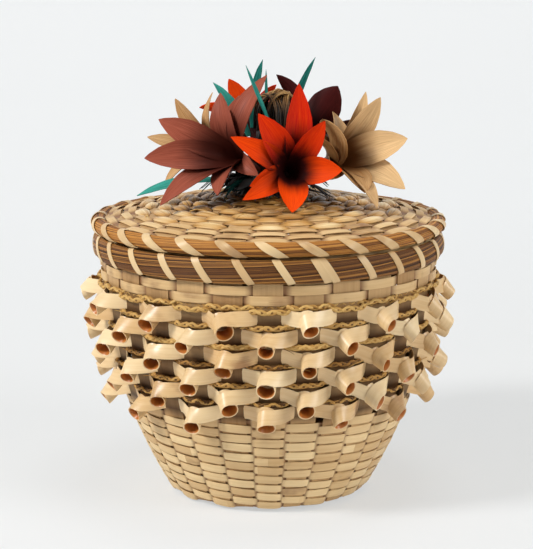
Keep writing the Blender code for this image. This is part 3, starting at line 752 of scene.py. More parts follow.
def store(tree, geometry, name, value, kind="FLOAT", domain="POINT"):
    return tree.add("GeometryNodeStoreNamedAttribute", {"data_type": kind, "domain": domain},
                    {"Geometry": geometry, "Name": name, "Value": value})


def random_number(tree, identity, seed):
    return tree.add("FunctionNodeRandomValue", {"data_type": "FLOAT"}, {"ID": identity, "Seed": seed}, 1)


def close_tree(tree, geometry, material):
    """Makes instances real, sets the material and returns the finished group."""
    real = tree.add("GeometryNodeRealizeInstances", {}, [geometry])
    shown = tree.add("GeometryNodeSetMaterial", {}, {"Geometry": real, "Material": material})
    tree.fill(tree.tree.nodes.new("NodeGroupOutput"), [shown])
    return tree.tree


def run_tree(name, mesh, group, sizes):
    """Puts the tree on a mesh, sets its inputs and returns the plain mesh object that comes out."""
    carrier = bpy.data.objects.new(name + "_guide", mesh)
    scene.collection.objects.link(carrier)
    modifier = carrier.modifiers.new("shape", "NODES")
    modifier.node_group = group
    for item in group.interface.items_tree:
        if item.in_out == "INPUT" and item.name in sizes:
            modifier[item.identifier] = sizes[item.name]
    depsgraph = bpy.context.evaluated_depsgraph_get()
    result = bpy.data.meshes.new_from_object(carrier.evaluated_get(depsgraph), depsgraph=depsgraph)
    bpy.data.objects.remove(carrier)
    result.name = name
    result.shade_smooth()
    piece = bpy.data.objects.new(name, result)
    scene.collection.objects.link(piece)
    print(name, "has", len(result.polygons), "faces")
    return piece


tree, given = new_node_tree("strands_on_guide", ["Strands"], [
    "Half Width", "Half Height", "Lobes", "Turns per Metre", "Strand Radius", "Wander", "Seed"])
line = tree.add("GeometryNodeMeshToCurve", {}, [given["Geometry"]])
length = tree.add("GeometryNodeSplineParameter", output="Length")
copies = tree.add("GeometryNodeDuplicateElements", {"domain": "SPLINE"},
                  {"Geometry": line, "Amount": given["Strands"]})
which = Value(tree, tree.node.outputs["Duplicate Index"])
phase = (which / given["Strands"] + length * given["Turns per Metre"]) * (2 * math.pi)
far = tree.vector("SCALE", tree.add("GeometryNodeInputPosition"), 55.0)
shift = tree.add("ShaderNodeCombineXYZ", {}, [which * 3.7, which * 1.3, given["Seed"]])
noise_a = tree.noise(tree.vector("ADD", far, shift), 1.0, 2)
noise_b = tree.noise(tree.vector("SUBTRACT", far, shift), 1.0, 2)
sideways = phase.math("SINE") * given["Half Width"] + (noise_a - 0.5) * given["Wander"]
out_by = (phase * given["Lobes"]).math("COSINE") * given["Half Height"] + (noise_b - 0.5) * given["Wander"]
move = tree.vector("ADD", tree.vector("SCALE", named(tree, "across", "FLOAT_VECTOR"), sideways),
                   tree.vector("SCALE", named(tree, "outward", "FLOAT_VECTOR"), out_by))
laid = tree.add("GeometryNodeSetPosition", {}, {"Geometry": copies, "Offset": move})
laid = store(tree, laid, "tint", random_number(tree, which + given["Seed"] * 100, 5))
laid = store(tree, laid, "run", length)
profile = tree.add("GeometryNodeCurvePrimitiveCircle", {"mode": "RADIUS"}, {"Resolution": 5, "Radius": 1.0})
profile = store(tree, profile, "turn", tree.add("GeometryNodeSplineParameter", output="Factor"))
thickness = given["Strand Radius"] * (named(tree, "tint") * 0.6 + 0.7)
body = tree.add("GeometryNodeCurveToMesh", {}, {
    "Curve": laid, "Profile Curve": profile, "Scale": thickness, "Fill Caps": True})
flat_map = tree.add("ShaderNodeCombineXYZ", {}, [named(tree, "run"), named(tree, "turn") * 0.004, 0.0])
body = store(tree, body, "UVMap", flat_map, "FLOAT2", "CORNER")
strand_group = close_tree(tree, body, given["Material"])


def strands(name, points, across, outward, count, half_width, half_height, radius, material, dressing,
            lobes=1, turns=0.0, wander=0.0, closed=True):
    """Strands of grass along a guide: a line of points that keeps its two directions."""
    mesh = bpy.data.meshes.new(name + "_line")
    edges = [(k, (k + 1) % len(points)) for k in range(len(points) if closed else len(points) - 1)]
    mesh.from_pydata(points.tolist(), edges, [])
    for word, values in (("across", across), ("outward", outward)):
        attribute = mesh.attributes.new(word, "FLOAT_VECTOR", "POINT")
        attribute.data.foreach_set("vector", values.astype(np.float32).ravel())
    piece = run_tree(name, mesh, strand_group, {
        "Strands": count, "Half Width": half_width, "Half Height": half_height, "Lobes": float(lobes),
        "Turns per Metre": turns, "Strand Radius": radius, "Wander": wander, "Seed": chance.random(),
        "Material": material})
    dress(piece, *dressing)


# %% [markdown]
# Between the curl rows runs a fine braid of sweetgrass. It goes over every second standard, as a weaver does,
# and three strands cross in it again and again. The guide is the weaver's wave, and the tree does the rest:
# across the braid a strand swings once per turn, and in and out it swings twice.

# %% Braids
BRAID_TURN = 11 * MM
BRAID_OVER, BRAID_UNDER = 2.9 * MM, 0.8 * MM
BRAID_HALF_WIDTH, BRAID_HALF_HEIGHT, BRAID_STRAND = 1.0 * MM, 0.5 * MM, 0.84 * MM
BRAID_WANDER = 0.5 * MM
EXTRA_BRAID_DROP = 2.3 * MM
ring_angles = np.linspace(0, 2 * math.pi, STANDARDS * 12, endpoint=False)


def woven_ring(height, phase, over, under):
    """Points of a ring that goes outside one standard and inside the next, with its axes."""
    swing = flatter(np.cos((ring_angles / PITCH + phase) * math.pi), 0.5)
    along, out, up = wall_axes(ring_angles, height)
    offset = (over - under) / 2 + (over + under) / 2 * swing
    return ring(wall_radius(height), ring_angles, height) + out * offset[:, None], up, out


braid_rows = [(TOP_CURL + 0.5 * CURL_PITCH - EXTRA_BRAID_DROP, 0, 1)]
braid_rows += [(TOP_CURL - (row - 0.5) * CURL_PITCH, row + 1, row + 1) for row in range(CURL_ROWS)]
for count, (height, phase, row) in enumerate(braid_rows):
    around = 2 * math.pi * float(wall_radius(height))
    strands(f"braid_{count}", *woven_ring(height, phase % 2, BRAID_OVER, BRAID_UNDER), 3,
            BRAID_HALF_WIDTH, BRAID_HALF_HEIGHT, BRAID_STRAND, braid_grass,
            ("basket", "sweetgrass", f"sweetgrass_braid_{row}"),
            lobes=2, turns=round(around / BRAID_TURN) / around, wander=BRAID_WANDER)

# %% [markdown]
# Above the curls come two plain weavers, and then the rim. A thick bundle of sweetgrass lies round the
# outside, a splint hoop round the inside, and one long splint lashes both through the weave. The bundle is
# a plain core, which keeps it from looking hollow, inside a coat of many loose strands.

# %% Top weavers and bundles
TOP_WEAVER = 143.6 * MM
TOP_WEAVER_PITCH = 5.6 * MM
TOP_WEAVER_TINT = 0.85
BUNDLE_STRAND = 0.3 * MM
CORE_SIDES = 14
CORE_SIDE_WIDTH = 1.2 * MM

for row in (1, 2):
    weaver = Strips()
    points, up, out = woven_ring(TOP_WEAVER - (row - 1) * TOP_WEAVER_PITCH, row, 1.5 * MM, 0.8 * MM)
    # Painted shade where the top weaver dives behind a standard.
    stain_and_shade = PAINTED_DIVE_SHADE * smooth(0.4 - np.cos((ring_angles / PITCH + row) * math.pi) * 1.8)
    weaver.strip(points, up, 2.7 * MM, 0.42 * MM, 0.15, TOP_WEAVER_TINT, closed=True, stained=stain_and_shade)
    weaver.build(f"top_weaver_ring_{row}", splint, "basket", "splint", f"top_weaver_{row}")


def bundle(name, radius, height, depth, rise, count, material, *dressing):
    """A grass bundle round a rim: a core tube with strands laid on it."""
    angles = ring_angles[::2]
    depth, rise = depth - BUNDLE_STRAND, rise - BUNDLE_STRAND
    turns = 2 * math.pi * np.arange(CORE_SIDES) / CORE_SIDES
    rows = [ring(radius + depth * math.cos(turn), angles, height + rise * math.sin(turn)) for turn in turns]
    core = Strips()
    core.add(np.stack(rows, 1), angles * radius, np.arange(CORE_SIDES) * CORE_SIDE_WIDTH, 0.3, True)
    core.build(name + "_core", material, *dressing)
    strands(name + "_strands", ring(radius, angles, height), *level_axes(angles), count, rise, depth,
            BUNDLE_STRAND, material, dressing, turns=1 / (2 * math.pi * radius), wander=1.3 * BUNDLE_STRAND)


bundle("rim_bundle", *RIM, 84, rim_grass, "basket", "dark_grass", "rim_grass_bundle")
bundle("lid_bundle", *LID_RIM, 76, lid_grass, "lid", "sweetgrass", "lid_grass_bundle")

# %% [markdown]
# One splint lashes each rim: it comes up between two standards, runs over the grass and back under. All its
# turns are alike, so we build one and let a second tree repeat it round the ring, each turn with a little
# error of its own and its own tone. In the photograph the turns lean, and one turn on the body is doubled.

# %% A Geometry Nodes tree that repeats a piece round the ring
tree, given = new_node_tree("repeat_round_ring", ["Count", "Seed"], ["Step", "Jitter", "Lean"])
spots = tree.add("GeometryNodePoints", {}, {"Count": given["Count"], "Position": (0, 0, 0), "Radius": 0.01})
which = tree.add("GeometryNodeInputIndex")
error = random_number(tree, which, given["Seed"])
tone = random_number(tree, which + 100, given["Seed"])
turned = which * given["Step"] + (error - 0.5) * given["Jitter"]
way = tree.add("ShaderNodeCombineXYZ", {}, [0.0, (tone - 0.5) * given["Lean"], turned])
placed = tree.add("GeometryNodeInstanceOnPoints", {}, {"Points": spots, "Instance": given["Geometry"]})
placed = tree.add("GeometryNodeRotateInstances", {}, {"Instances": placed, "Rotation": way})
placed = store(tree, placed, "tint", tone, domain="INSTANCE")
ring_group = close_tree(tree, placed, given["Material"])


def repeat(name, piece, jitter, lean, material):
    """Repeats a small piece at every standard and removes the original."""
    mesh = piece.data.copy()
    mesh.attributes.remove(mesh.attributes["tint"])
    bpy.data.objects.remove(piece)
    return run_tree(name, mesh, ring_group, {
        "Count": STANDARDS, "Step": PITCH, "Jitter": jitter, "Lean": lean, "Seed": chance.randrange(1000),
        "Material": material})


# %% [markdown]
# A turn of lashing follows the bundle's oval section and leans along the ring as it goes down. It is drawn
# tight, so it lies right on the grass, and its ends go in between the standards. The table gives the half
# width, the slant, where the turn starts and ends on the oval in degrees, its tail, the place of the first
# turn and how far the turns stray, in pitches. The doubled turn stands alone.

# %% Lashings and hoops
LASHING_STAND = 0.35 * MM
LASHING_LEAN = 0.004
LASHINGS = [
    ("rim_lashing_turns", "basket", "rim_lashing", RIM, 2.15, 0.40, (170, -72), (0.0, -3.0), 0.42, 0.16),
    ("rim_lashing_doubled", "basket", "rim_lashing", RIM, 2.1, 0.36, (170, -72), (0.0, -3.0), 1.26, None),
    ("lid_lashing_turns", "lid", "lid_lashing", LID_RIM, 2.45, 0.62, (178, -78), (-2.5, -0.4), 0.10, 0.10),
]


def lashing(name, radius, height, depth, rise, half, slant, limits, tail, first):
    """One turn of splint over a rim, from the tail inside to the end underneath."""
    turn = np.radians(np.linspace(*limits, 26))
    share = (1 - np.sin(turn)) / 2 * np.where(np.cos(turn) > 0, 1, 0)
    angles = first + slant * (share - 0.5)
    points = ring(radius + (depth + LASHING_STAND) * np.cos(turn), angles,
                  height + (rise + LASHING_STAND) * np.sin(turn))
    points = np.concatenate([points[:1] + ring(tail[0] * MM, angles[:1], tail[1] * MM), points])
    normals = ring(np.cos(turn) / depth, angles, np.sin(turn) / rise)
    normals = np.concatenate([normals[:1], normals])
    turns = Strips()
    turns.strip(points, unit(np.cross(normals, heading(points))), half * MM, 0.4 * MM, 0.1)
    return turns.build(name, pale_splint)


for name, body, node, oval, half, slant, limits, tail, first, stray in LASHINGS:
    turns = lashing(name if stray is None else name + "_first", *oval, half, slant * PITCH, limits, tail,
                    first * PITCH)
    if stray is not None:
        turns = repeat(name, turns, stray * PITCH, LASHING_LEAN, pale_splint)
    dress(turns, body, "pale_splint", node)

for node, body in (("rim_inner_hoop", "basket"), ("lid_inner_hoop", "lid")):
    low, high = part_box(node)
    hoop = Strips()
    middle = ring(high.x - 0.8 * MM, ring_angles[::2], (low.z + high.z) / 2)
    hoop.strip(middle, np.broadcast_to(UP, middle.shape), (high.z - low.z) / 2, 1.0 * MM, 0.1, closed=True)
    hoop.build(node + "_splint", splint, body, "splint", node)

# %% [markdown]
# The lid is woven like the body, on 28 spokes that meet in the middle. Near the rim the weavers are splint.
# Each crossing shows as a small domed brick, and the next row is offset by one spoke.

# %% Lid spokes and splint rows
LID_ROWS = [97.6 * MM, 92.9 * MM, 88.2 * MM, 83.4 * MM]
LID_ROW_PITCH = 4.7 * MM
SPOKE_FROM, SPOKE_PAST = 6 * MM, 0.6 * MM
SPOKE_WAVE, SPOKE_SINK = 0.5 * MM, 0.4 * MM
LID_WEAVER_WAVE, LID_WEAVER_LIFT = 1.05 * MM, 0.1 * MM


def lid_axes(radius, angle):
    """Unit directions inward along the lid's dome and off it."""
    inward = unit(ring(-1.0, angle, 2 * LID_CROWN * radius / LID_ARM_RADIUS ** 2))
    return inward, np.cross(along_ring(angle), inward)


spokes = Strips()
radii = np.linspace(SPOKE_FROM, LID_ARM_RADIUS + SPOKE_PAST, 44)
for index in range(STANDARDS):
    angles = index * PITCH + chance.uniform(-0.3, 0.3) * MM / radii
    inward, normal = lid_axes(radii, angles)
    wave = SPOKE_WAVE * np.cos((radii - LID_ROWS[0]) / LID_ROW_PITCH * math.pi + index * math.pi)
    points = ring(radii, angles, lid_height(radii)) + normal * (wave - SPOKE_SINK)[:, None]
    spokes.strip(points, along_ring(angles), 0.36 * PITCH * radii + 0.6 * MM, 0.4 * MM, 0.05)
spokes.build("lid_spoke_strips", standard_splint, "lid", "splint", "lid_spokes")

for row, radius in enumerate(LID_ROWS):
    weaver = Strips()
    swing = flatter(np.cos((ring_angles / PITCH + row) * math.pi), 0.55)
    inward, normal = lid_axes(radius, ring_angles)
    lift = LID_WEAVER_LIFT + LID_WEAVER_WAVE * swing
    # Painted shade where the weaver dives under a spoke.
    weaver.strip(ring(radius, ring_angles, lid_height(radius)) + normal * lift[:, None], inward,
                 (2.25 + 0.25 * swing) * MM, 0.42 * MM, 0.45, closed=True,
                 stained=PAINTED_DIVE_SHADE * smooth(0.55 - swing))
    weaver.build(f"lid_splint_row_{row + 1}", splint, "lid", "splint", f"lid_weaver_{min(row + 1, 3)}")

# %% [markdown]
# Further in, the weavers are soft: folded splint and grass, pressed flat. Each time one comes over a spoke
# it swells to a lens-shaped lump made of a few blades side by side, and dives again. So a lump is a small
# bunch of strips that start and end at one point. Towards the middle the lumps are darker and shorter. Where
# a lump dives, its colour is painted darker as shade.

# %% Lumps of the soft rows
SOFT_PITCH = 6.6 * MM
SOFT_FIRST = 78.0 * MM
SOFT_ROWS = 9
SPARSE_WITHIN = 44 * MM
LUMP_BLADES = 5
LUMP_HALF = 3.9 * MM
LUMP_HEIGHT = 1.7 * MM
LUMP_SINK = 1.0 * MM
ROW_DARKENS = 0.075


def add_lump(strips, radius, angle, length, height, tint):
    share = np.linspace(0, 1, 12)
    bulge = np.sin(share * math.pi)
    angles = angle + (share - 0.5) * length / radius
    for blade in range(LUMP_BLADES):
        across = (blade + 0.5) / LUMP_BLADES * 2 - 1
        offset = across * LUMP_HALF * bulge ** 0.6 * chance.uniform(0.8, 1.05)
        radii = radius - offset - chance.uniform(-0.5, 0.5) * MM * (share - 0.5) * 2
        inward, normal = lid_axes(radius - offset, angles)
        rise = (height + LUMP_SINK) * bulge ** 0.7 * (1 - 0.4 * across ** 2) - LUMP_SINK
        rise += chance.uniform(-0.15, 0.2) * MM
        shown = float(np.clip(tint + chance.uniform(-0.22, 0.22) - 0.15 * abs(across), 0, 1))
        # Painted shade where the lump's blades dive.
        strips.strip(ring(radii, angles, lid_height(radii)) + normal * rise[:, None],
                     unit(inward - normal * 0.5 * across), LUMP_HALF * 0.30 * (0.25 + 0.75 * bulge), 0.5 * MM,
                     0.5, shown, stained=PAINTED_DIVE_SHADE * (1 - bulge) ** 1.3)


soft = {"a": Strips(), "b": Strips()}
for row in range(SOFT_ROWS):
    radius = SOFT_FIRST - row * SOFT_PITCH
    stride = 2 if radius > SPARSE_WITHIN else 4
    span = stride * PITCH * radius
    for index in range(STANDARDS // stride):
        angle = (index * stride + (row % 2) * stride / 2) * PITCH + chance.uniform(-0.06, 0.06) * PITCH
        add_lump(soft["ab"[row % 2]], radius + chance.uniform(-0.5, 0.5) * MM, angle,
                 span * chance.uniform(0.72, 0.84), LUMP_HEIGHT * chance.uniform(0.85, 1.15),
                 0.95 - ROW_DARKENS * row + chance.uniform(-0.2, 0.1))
for letter, strips in soft.items():
    strips.build("lid_soft_rows_" + letter, lump_grass, "lid", "sweetgrass", "lid_grass_weaver_" + letter)

# %% [markdown]
# The knob is a ring of grass laid round the middle of the lid and a thick knot of dark grass that stands up
# from it. Its top shows between the petals as loops of grass that go up one side and down the other. The
# loops are guides for the strand tree, each with its own lean, round a dark core. Under the flowers more
# loops spread out low over the lid.

# %% Grass ring and knot
SEAT_COILS = [(1.0, 0.0), (0.86, 2.1), (1.3, -1.6)]
KNOT_PROFILE = np.array([(0, 0.70), (0.12, 0.62), (0.45, 0.55), (0.60, 0.70), (0.76, 0.95), (0.90, 0.84),
                         (1.0, 0.2)])
KNOT_SIDES = 20
KNOT_LOOPS = 16
GOLDEN_STEP = 2.4
KNOT = ("lid", "dark_grass", "sweetgrass_knot")

seat_low, seat_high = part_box("grass_seat_ring")
knot_low, knot_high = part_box("sweetgrass_knot")
for layer, (share, rise) in enumerate(SEAT_COILS):
    radius = seat_high.x * share - 2.0 * MM
    angles = ring_angles[::2]
    middle = ring(radius, angles, seat_low.z + (1.4 + rise) * MM)
    strands(f"seat_coil_{layer + 1}", middle, *level_axes(angles), 16, 1.3 * MM, 1.7 * MM, 0.45 * MM,
            lid_grass, ("lid", "sweetgrass", "grass_seat_ring"), turns=1 / (math.pi * radius),
            wander=0.5 * MM)

knot_reach = (knot_high.x - knot_low.x) / 2
knot_middle = np.array([(knot_high.x + knot_low.x) / 2, (knot_high.y + knot_low.y) / 2, 0])
turns = 2 * math.pi * np.arange(KNOT_SIDES)[::-1] / KNOT_SIDES
shares = np.linspace(0, 1, 16)
rows = []
for share in shares:
    radius = np.interp(share, *KNOT_PROFILE.T) * knot_reach * 0.62
    height = knot_low.z + (knot_high.z - knot_low.z - 1.5 * MM) * share
    rows.append(ring(radius, turns, height) + knot_middle * share)
knot = Strips()
knot.add(np.stack(rows), shares * 60 * MM, np.arange(KNOT_SIDES) * 4 * MM, 0.05)
knot.build("knot_core", knot_grass, *KNOT)

for loop in range(KNOT_LOOPS):
    bearing = loop * GOLDEN_STEP + chance.uniform(-0.5, 0.5)
    lean = chance.uniform(0.3, 1.0)
    forward = np.array([math.cos(bearing), math.sin(bearing), 0])
    aside = np.array([-math.sin(bearing), math.cos(bearing), 0])
    turn = np.linspace(0, math.pi, 17)[:, None]
    top = knot_high.z + 4.2 * MM - lean * chance.uniform(3, 7) * MM
    heights = top - 22 * MM * (1 - np.sin(turn) ** 0.6)
    points = (knot_middle + np.cos(turn) * knot_reach * (0.45 + 0.55 * lean) * forward
              + chance.uniform(-0.55, 0.55) * knot_reach * aside + heights * UP)
    strands(f"knot_loop_{loop + 1}", points, np.broadcast_to(aside, points.shape),
            np.cos(turn) * forward + np.sin(turn) * UP, 7, 1.5 * MM, 0.6 * MM, 0.45 * MM, knot_grass, KNOT,
            turns=12.0, wander=0.7 * MM, closed=False)

# %% [markdown]
# The flowers are made of dyed splint too, and their stems run to the knot. A petal is cut from a flat strip,
# is narrow at its foot, widest past its middle and pointed, and is bent: first it runs along the flower's
# axis, then it opens outwards, and across it is cupped like a spoon. The foot of each petal is painted
# darker as the shade deep in the flower, which is kept in the same attribute as the painted shade inside a
# curl.

# %% Petal material
def petal_material(name, low, high, throat, roughness):
    low, high, throat = [srgb(*colour) for colour in (low, high, throat)]

    def build(tree, shader):
        tint = tree.attribute("tint")
        grain, cloud = fibres(tree, tint, (0, 0), (70, 2200, 3), (40, 260, 2))
        tone = (tint * 0.7 + cloud * 0.4 + grain * 1.5 - 0.83).clamp()
        # Painted shade at the petal's foot, deep in the flower.
        foot = tree.steps(tree.attribute("lining") + cloud * 0.16, 0.34, 0.72)
        colour = tree.mix(foot, tree.mix(tone, low, high), throat)
        surface(tree, shader, colour, roughness + grain * 0.2 - 0.08, 0.08, grain, 0.3, 0.2 * MM)
    return new_material(name, high, build)


petals_of = {
    "orange": petal_material("orange_petals", (178, 13, 0), (232, 72, 0), (34, 3, 2), 0.6),
    "brown": petal_material("brown_petals", (108, 44, 30), (178, 98, 76), (72, 30, 22), 0.42),
    "tan": petal_material("tan_petals", (158, 106, 54), (232, 194, 142), (94, 56, 26), 0.4),
    "burgundy": petal_material("burgundy_petals", (44, 10, 10), (84, 28, 26), (24, 6, 6), 0.4),
    "teal": petal_material("teal_leaves", (6, 70, 66), (62, 158, 142), (6, 50, 48), 0.5),
}
print(len(petals_of), "petal materials")

# %% [markdown]
# The table gives each flower's colour, throat and facing, as a bearing and a rise in degrees, and a row for
# each petal: where its tip is, read from the photograph, its width, its tone and, for some, how far it rolls.
# Those at the back are a guess.

# %% Petals and flowers
PETAL_PROFILE = np.array([(0, 0.38), (0.2, 0.62), (0.38, 0.88), (0.54, 1.0), (0.70, 0.93), (0.85, 0.62),
                          (0.95, 0.27), (1.0, 0.02)])
PETAL_HALF = 8.4 * MM
PETAL_THICKNESS = 0.45 * MM
PETAL_CUP = 0.42
PETAL_RISE = 0.42
PETAL_OPENING = 0.20
FOOT_DEPTH = 12 * MM
STEM_RADII = (5.0, 3.6, 2.6)
FLOWERS = [
    ("flower_orange_front", "orange", (13.3, -36, 201.9), (12, 14), [
        (18, -22, 253, 1.0, 0.1), (-6, -42, 237, 1.05, 0.25), (-22, -48, 224, 0.85, 0.75),
        (33, -44, 233, 0.85, 0.35), (43, -52, 205, 1.0, 0.95), (13.5, -70, 183, 1.1, 1.0),
        (-15, -62, 189, 0.75, 0.9), (-11, -54, 196, 0.8, 0.9)]),
    ("flower_brown_left", "brown", (-20, -14, 208), (-38, 22), [
        (-74, -28, 209, 1.15, 0.5), (-66, -16, 231, 1.05, 0.6), (-29, -6, 246, 1.0, 0.45),
        (-1, -10, 257, 0.95, 0.5), (-64, -44, 183, 1.0, 0.5), (-30, -44, 189, 0.9, 0.55),
        (-6, -30, 199, 0.7, 0.6), (-18, 8, 243, 0.9, 0.3), (-23, 4, 189, 0.9, 0.05)]),
    ("flower_tan_left", "tan", (-34, 14, 207), (-72, 34), [
        (-58, 22, 240, 0.85, 0.25), (-35, 32, 243, 0.6, 0.3), (-75, 14, 217, 0.8, 0.5),
        (-64, 0, 188, 0.9, 0.4), (-52, 44, 222, 0.8, 0.5), (-20, 44, 232, 0.8, 0.5)]),
    ("flower_tan_right", "tan", (40, -6, 205), (40, 26), [
        (60, 14, 245, 0.6, 0.8), (68, -2, 243, 0.95, 0.75), (84, -12, 219, 1.2, 1.0),
        (82, -24, 190, 1.3, 0.95), (64, -46, 182, 0.9, 0.7), (57, -40, 190, 1.35, 0.3),
        (32, -24, 232, 1.7, 0.3, 80), (36, -34, 197, 0.8, 0.1), (40, 22, 232, 0.8, 0.5),
        (22, -17, 222, 1.4, 0.15, 80)]),
    ("flower_burgundy_back", "burgundy", (24, 26, 216), (110, 52), [
        (5, 34, 254, 0.8, 0.3, 60), (43, 20, 248, 1.3, 0.5), (68, 30, 224, 0.85, 0.2),
        (52, 46, 206, 0.9, 0.4), (14, 60, 226, 0.9, 0.5), (42, -2, 199, 1.1, 0.1)]),
    ("flower_orange_back", "orange", (-10, 34, 222), (-160, 50), [
        (-25, 38, 251, 0.8, 0.85), (5, 42, 247, 0.7, 0.3), (-44, 48, 232, 0.9, 0.8),
        (-26, 66, 206, 0.9, 0.9), (6, 66, 214, 0.9, 0.7)]),
]


def add_petal(strips, throat, axis, tip, width, tint, roll=0):
    """One cupped petal from the flower's foot to its tip."""
    reach = tip - throat
    length = np.linalg.norm(reach)
    away = unit(reach - axis * (reach @ axis))
    foot = throat - axis * FOOT_DEPTH + away * 1.4 * MM
    share = np.linspace(0, 1, 22)[:, None]
    bend = throat + axis * (PETAL_RISE * length) + away * (PETAL_OPENING * length)
    line = (1 - share) ** 2 * foot + 2 * share * (1 - share) * bend + share ** 2 * tip
    run = heading(line)
    side = unit(np.cross(axis, away))
    inner = unit(np.cross(side, run))
    if inner[8] @ (axis - away) < 0:
        inner = -inner
    twist = np.radians(chance.uniform(-9, 9) + roll) * share
    side, inner = side * np.cos(twist) + inner * np.sin(twist), inner * np.cos(twist) - side * np.sin(twist)
    half = np.interp(share, *PETAL_PROFILE.T) * PETAL_HALF * width
    across = np.linspace(-1, 1, 9)
    bowl = PETAL_CUP * (1.35 - share)
    sheet = np.stack([line + side * half * v + inner * half * bowl * v * v for v in across], 1)
    thick = inner[:, None, :] * (PETAL_THICKNESS / 2)
    rows = np.concatenate([sheet + thick, (sheet - thick)[:, ::-1]], 1)
    wide = np.concatenate([across, across[::-1]]) * PETAL_HALF * width
    if np.cross(rows[8, 1] - rows[8, 0], run[8]) @ inner[8] > 0:
        rows, wide = rows[:, ::-1], wide[::-1]
    # The painted shade grows towards the petal's foot.
    strips.add(rows, share[:, 0] * length, wide, tint, lining=np.broadcast_to(1 - share, rows.shape[:2]))


for node, kind, throat, (bearing, rise), petals in FLOWERS:
    flower = Strips()
    throat, bearing, rise = np.array(throat) * MM, math.radians(bearing), math.radians(rise)
    axis = ring(math.cos(rise), bearing, math.sin(rise))
    for x, y, z, *look in petals:
        add_petal(flower, throat, axis, np.array([x, y, z]) * MM, *look)
    share = np.linspace(0, 1, 8)
    stem_end = knot_middle + (throat[2] - 12 * MM) * UP
    stem = np.outer(1 - share, throat - axis * (FOOT_DEPTH - 1 * MM)) + np.outer(share, stem_end)
    # The stem takes the throat's painted shade colour all along.
    flower.tube(stem, np.interp(share, [0, 0.5, 1], STEM_RADII) * MM, 8, 0.2, np.ones((8, 8)))
    flower.build(node + "_petals", petals_of[kind], "lid", kind + "_splint", node)

# %% [markdown]
# Narrow teal leaves stick out between the flowers. A leaf is one long blade with a soft fold along its
# middle, and each is bent a little. The table gives foot, tip, half width, bend and tone.

# %% Leaves
LEAF_PROFILE = np.array([(0, 0.45), (0.3, 0.8), (0.6, 1.0), (0.85, 0.6), (1.0, 0.03)])
LEAF_THICKNESS = 0.4 * MM
UPRIGHT_FACING, LOW_FACING = (0.25, -0.95, 0.2), (0.0, -0.5, 0.85)
LEAVES = [
    ((-12, 10, 218), (-34, 10, 251), 3.4, (2, 0, 1), 0.9, UPRIGHT_FACING),
    ((3, -30, 225), (-13.5, -24, 264), 1.3, (0, 0, 0), 0.45, UPRIGHT_FACING),
    ((-10, 22, 222), (-3.5, 26, 264), 2.9, (-2, 0, 0), 0.35, UPRIGHT_FACING),
    ((-1, 24, 225), (-1.5, 26, 258), 1.0, (0, 0, 0), 0.4, UPRIGHT_FACING),
    ((12, 16, 222), (29, 18, 266), 2.2, (-2, 0, 0), 0.15, UPRIGHT_FACING),
    ((-30, -8, 193), (-80, -12, 184), 4.2, (0, 0, 4), 1.0, LOW_FACING),
]
for place, (foot, tip, half, bend, tint, facing) in enumerate(LEAVES):
    share = np.linspace(0, 1, 20)[:, None]
    foot, tip, bend = [np.array(point) * MM for point in (foot, tip, bend)]
    line = foot + (tip - foot) * share + bend * 4 * share * (1 - share)
    side = unit(np.cross(facing, heading(line)))
    leaf = Strips()
    leaf.strip(line, side, np.interp(share[:, 0], *LEAF_PROFILE.T) * half * MM, LEAF_THICKNESS, 0.6, tint)
    leaf.build(f"teal_leaf_{place + 1}", petals_of["teal"], "lid", "teal_splint", f"leaf_{place + 1}")

# %% [markdown]
# Under the flowers the knot's grass ends spread out in low loops that hide the flowers' stems. The knot's
# material paints them dark as shade low down. Each loop leaves the knot, swings out over the lid and comes
# back, and is the same kind of guide as before.

# %% Low loops round the knot
LOW_LOOPS = 22
LOOP_START = 6 * MM
LOOP_CLEARANCE = 3.5 * MM

share = np.linspace(0, 1, 15)
for loop in range(LOW_LOOPS):
    bearing = loop * 2 * math.pi / LOW_LOOPS + chance.uniform(-0.2, 0.2)
    reach = chance.uniform(15, 25) * MM
    angles = bearing + (share - 0.5) * chance.uniform(0.25, 0.75) * 2
    radii = LOOP_START + (reach - LOOP_START) * np.sin(share * math.pi) ** 0.7
    low, high = chance.uniform(186.5, 189) * MM, chance.uniform(192, 205) * MM
    heights = low + (high - low) * (0.2 + 0.8 * np.sin(share * math.pi) ** 2) * chance.uniform(0.6, 1.0)
    points = ring(radii, angles, np.maximum(heights, lid_height(radii) + LOOP_CLEARANCE))
    outward = ring(0.35, angles, 0.94)
    strands(f"low_loop_{loop + 1}", points, unit(np.cross(outward, heading(points))), outward, 6, 1.5 * MM,
            0.6 * MM, 0.6 * MM, knot_grass, KNOT, turns=5.0, wander=0.3 * MM, closed=False)

# %% [markdown]
# Hand-made baskets are never quite tidy. A few ends of grass come loose from the braids and the lid's rows,
# and they are thin enough to be single strands.

# %% Loose ends of grass
BODY_ENDS, LID_ENDS = 48, 26
BRAID_FRONT = 3.4 * MM
LID_END_LIFT = 1.9 * MM
END_TIP = 0.12

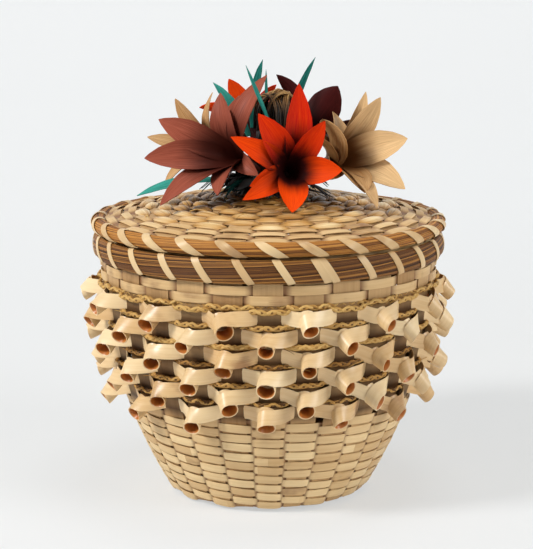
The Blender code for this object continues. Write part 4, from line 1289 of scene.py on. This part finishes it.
share = np.linspace(0, 1, 9)
ends = Strips()
for end in range(BODY_ENDS):
    angle, row = chance.uniform(0, 2 * math.pi), chance.randrange(1, CURL_ROWS)
    height = TOP_CURL - (row - 0.5) * CURL_PITCH
    length, climb = chance.uniform(5, 13), chance.uniform(-3, 2.5) * MM
    angles = angle + share * chance.choice((-1, 1)) * length / 100
    radii = float(wall_radius(height)) + BRAID_FRONT + share ** 1.5 * chance.uniform(0.5, 4.5) * MM
    ends.tube(ring(radii, angles, height + climb * share ** 2), np.linspace(0.34, END_TIP, 9) * MM, 5)
ends.build("loose_ends_basket", braid_grass, "basket", "sweetgrass", "sweetgrass_braid_1")
ends = Strips()
for end in range(LID_ENDS):
    angle, radius = chance.uniform(0, 2 * math.pi), chance.uniform(26, 84) * MM
    length, climb = chance.uniform(7, 16) * MM, chance.uniform(0.6, 3.5) * MM
    radii = radius + share * chance.uniform(-4, 4) * MM
    heights = lid_height(radii) + LID_END_LIFT + climb * np.sin(share * 2.6)
    ends.tube(ring(radii, angle + share * length / radius, heights), np.linspace(0.36, END_TIP, 9) * MM, 5)
ends.build("loose_ends_lid", braid_grass, "lid", "sweetgrass", "lid_grass_weaver_a")

# %% [markdown]
# Short blades fill the space under the flowers, and among them stand some broad leaves. A few of both are
# green like the leaves above. Their dark colour comes from a low tone and the knot's painted shade low down,
# and stands partly for the shade under the flowers.

# %% Dark blades under the flowers
NARROW_BLADES, BROAD_BLADES = 96, 36
BLADE_START = 5
BLADE_WIDTHS = (1, 0.7, 0.05)

blades = {"dark_grass": Strips(), "teal_splint": Strips()}


def add_blade(green, share, radii, heights, bearing, sway, facing, widths, foot):
    """A pointed blade that leaves the knot at a bearing and sways aside."""
    points = ring(radii, bearing + share * chance.uniform(-sway, sway), heights)
    side = unit(np.cross(ring(facing[0], bearing, facing[1]), heading(points)))
    half = chance.uniform(*widths) * MM * np.interp(share, [0, 0.5, 0.85, 1], [foot, *BLADE_WIDTHS])
    # A low tone darkens the blades, partly as painted shade under the flowers.
    blades["teal_splint" if green else "dark_grass"].strip(points, side, half, 0.35 * MM, 0.5,
                                                           chance.uniform(-0.25, 0.12))


share = np.linspace(0, 1, 10)
for blade in range(NARROW_BLADES):
    bearing = blade * GOLDEN_STEP + chance.uniform(-0.3, 0.3)
    radii = (BLADE_START + (chance.uniform(16, 44) - BLADE_START) * share) * MM
    heights = lid_height(radii) + 3.6 * MM + chance.uniform(1, 13) * MM * np.sin(share * 2.9)
    add_blade(blade % 4 == 0, share, radii, heights, bearing, 0.4, (0.3, 0.95), (1.4, 2.6), 0.7)

share = np.linspace(0, 1, 12)
for blade in range(BROAD_BLADES):
    bearing = blade * GOLDEN_STEP + chance.uniform(-0.3, 0.3)
    if blade % 3 == 0:
        radii = (BLADE_START + 12 * share) * MM
        heights = (196 + chance.uniform(24, 33) * share) * MM
    else:
        radii = (BLADE_START + chance.uniform(22, 32) * share) * MM
        heights = np.maximum((198 - 8 * share ** 2) * MM, lid_height(radii) + 4 * MM)
    add_blade(blade % 6 == 1, share, radii, heights, bearing, 0.5, (0.7, 0.7), (3.2, 4.4), 0.6)
blades["dark_grass"].build("low_blades_dark_grass", knot_grass, *KNOT)
blades["teal_splint"].build("low_blades_teal_splint", petals_of["teal"], "lid", "teal_splint", "leaf_6")
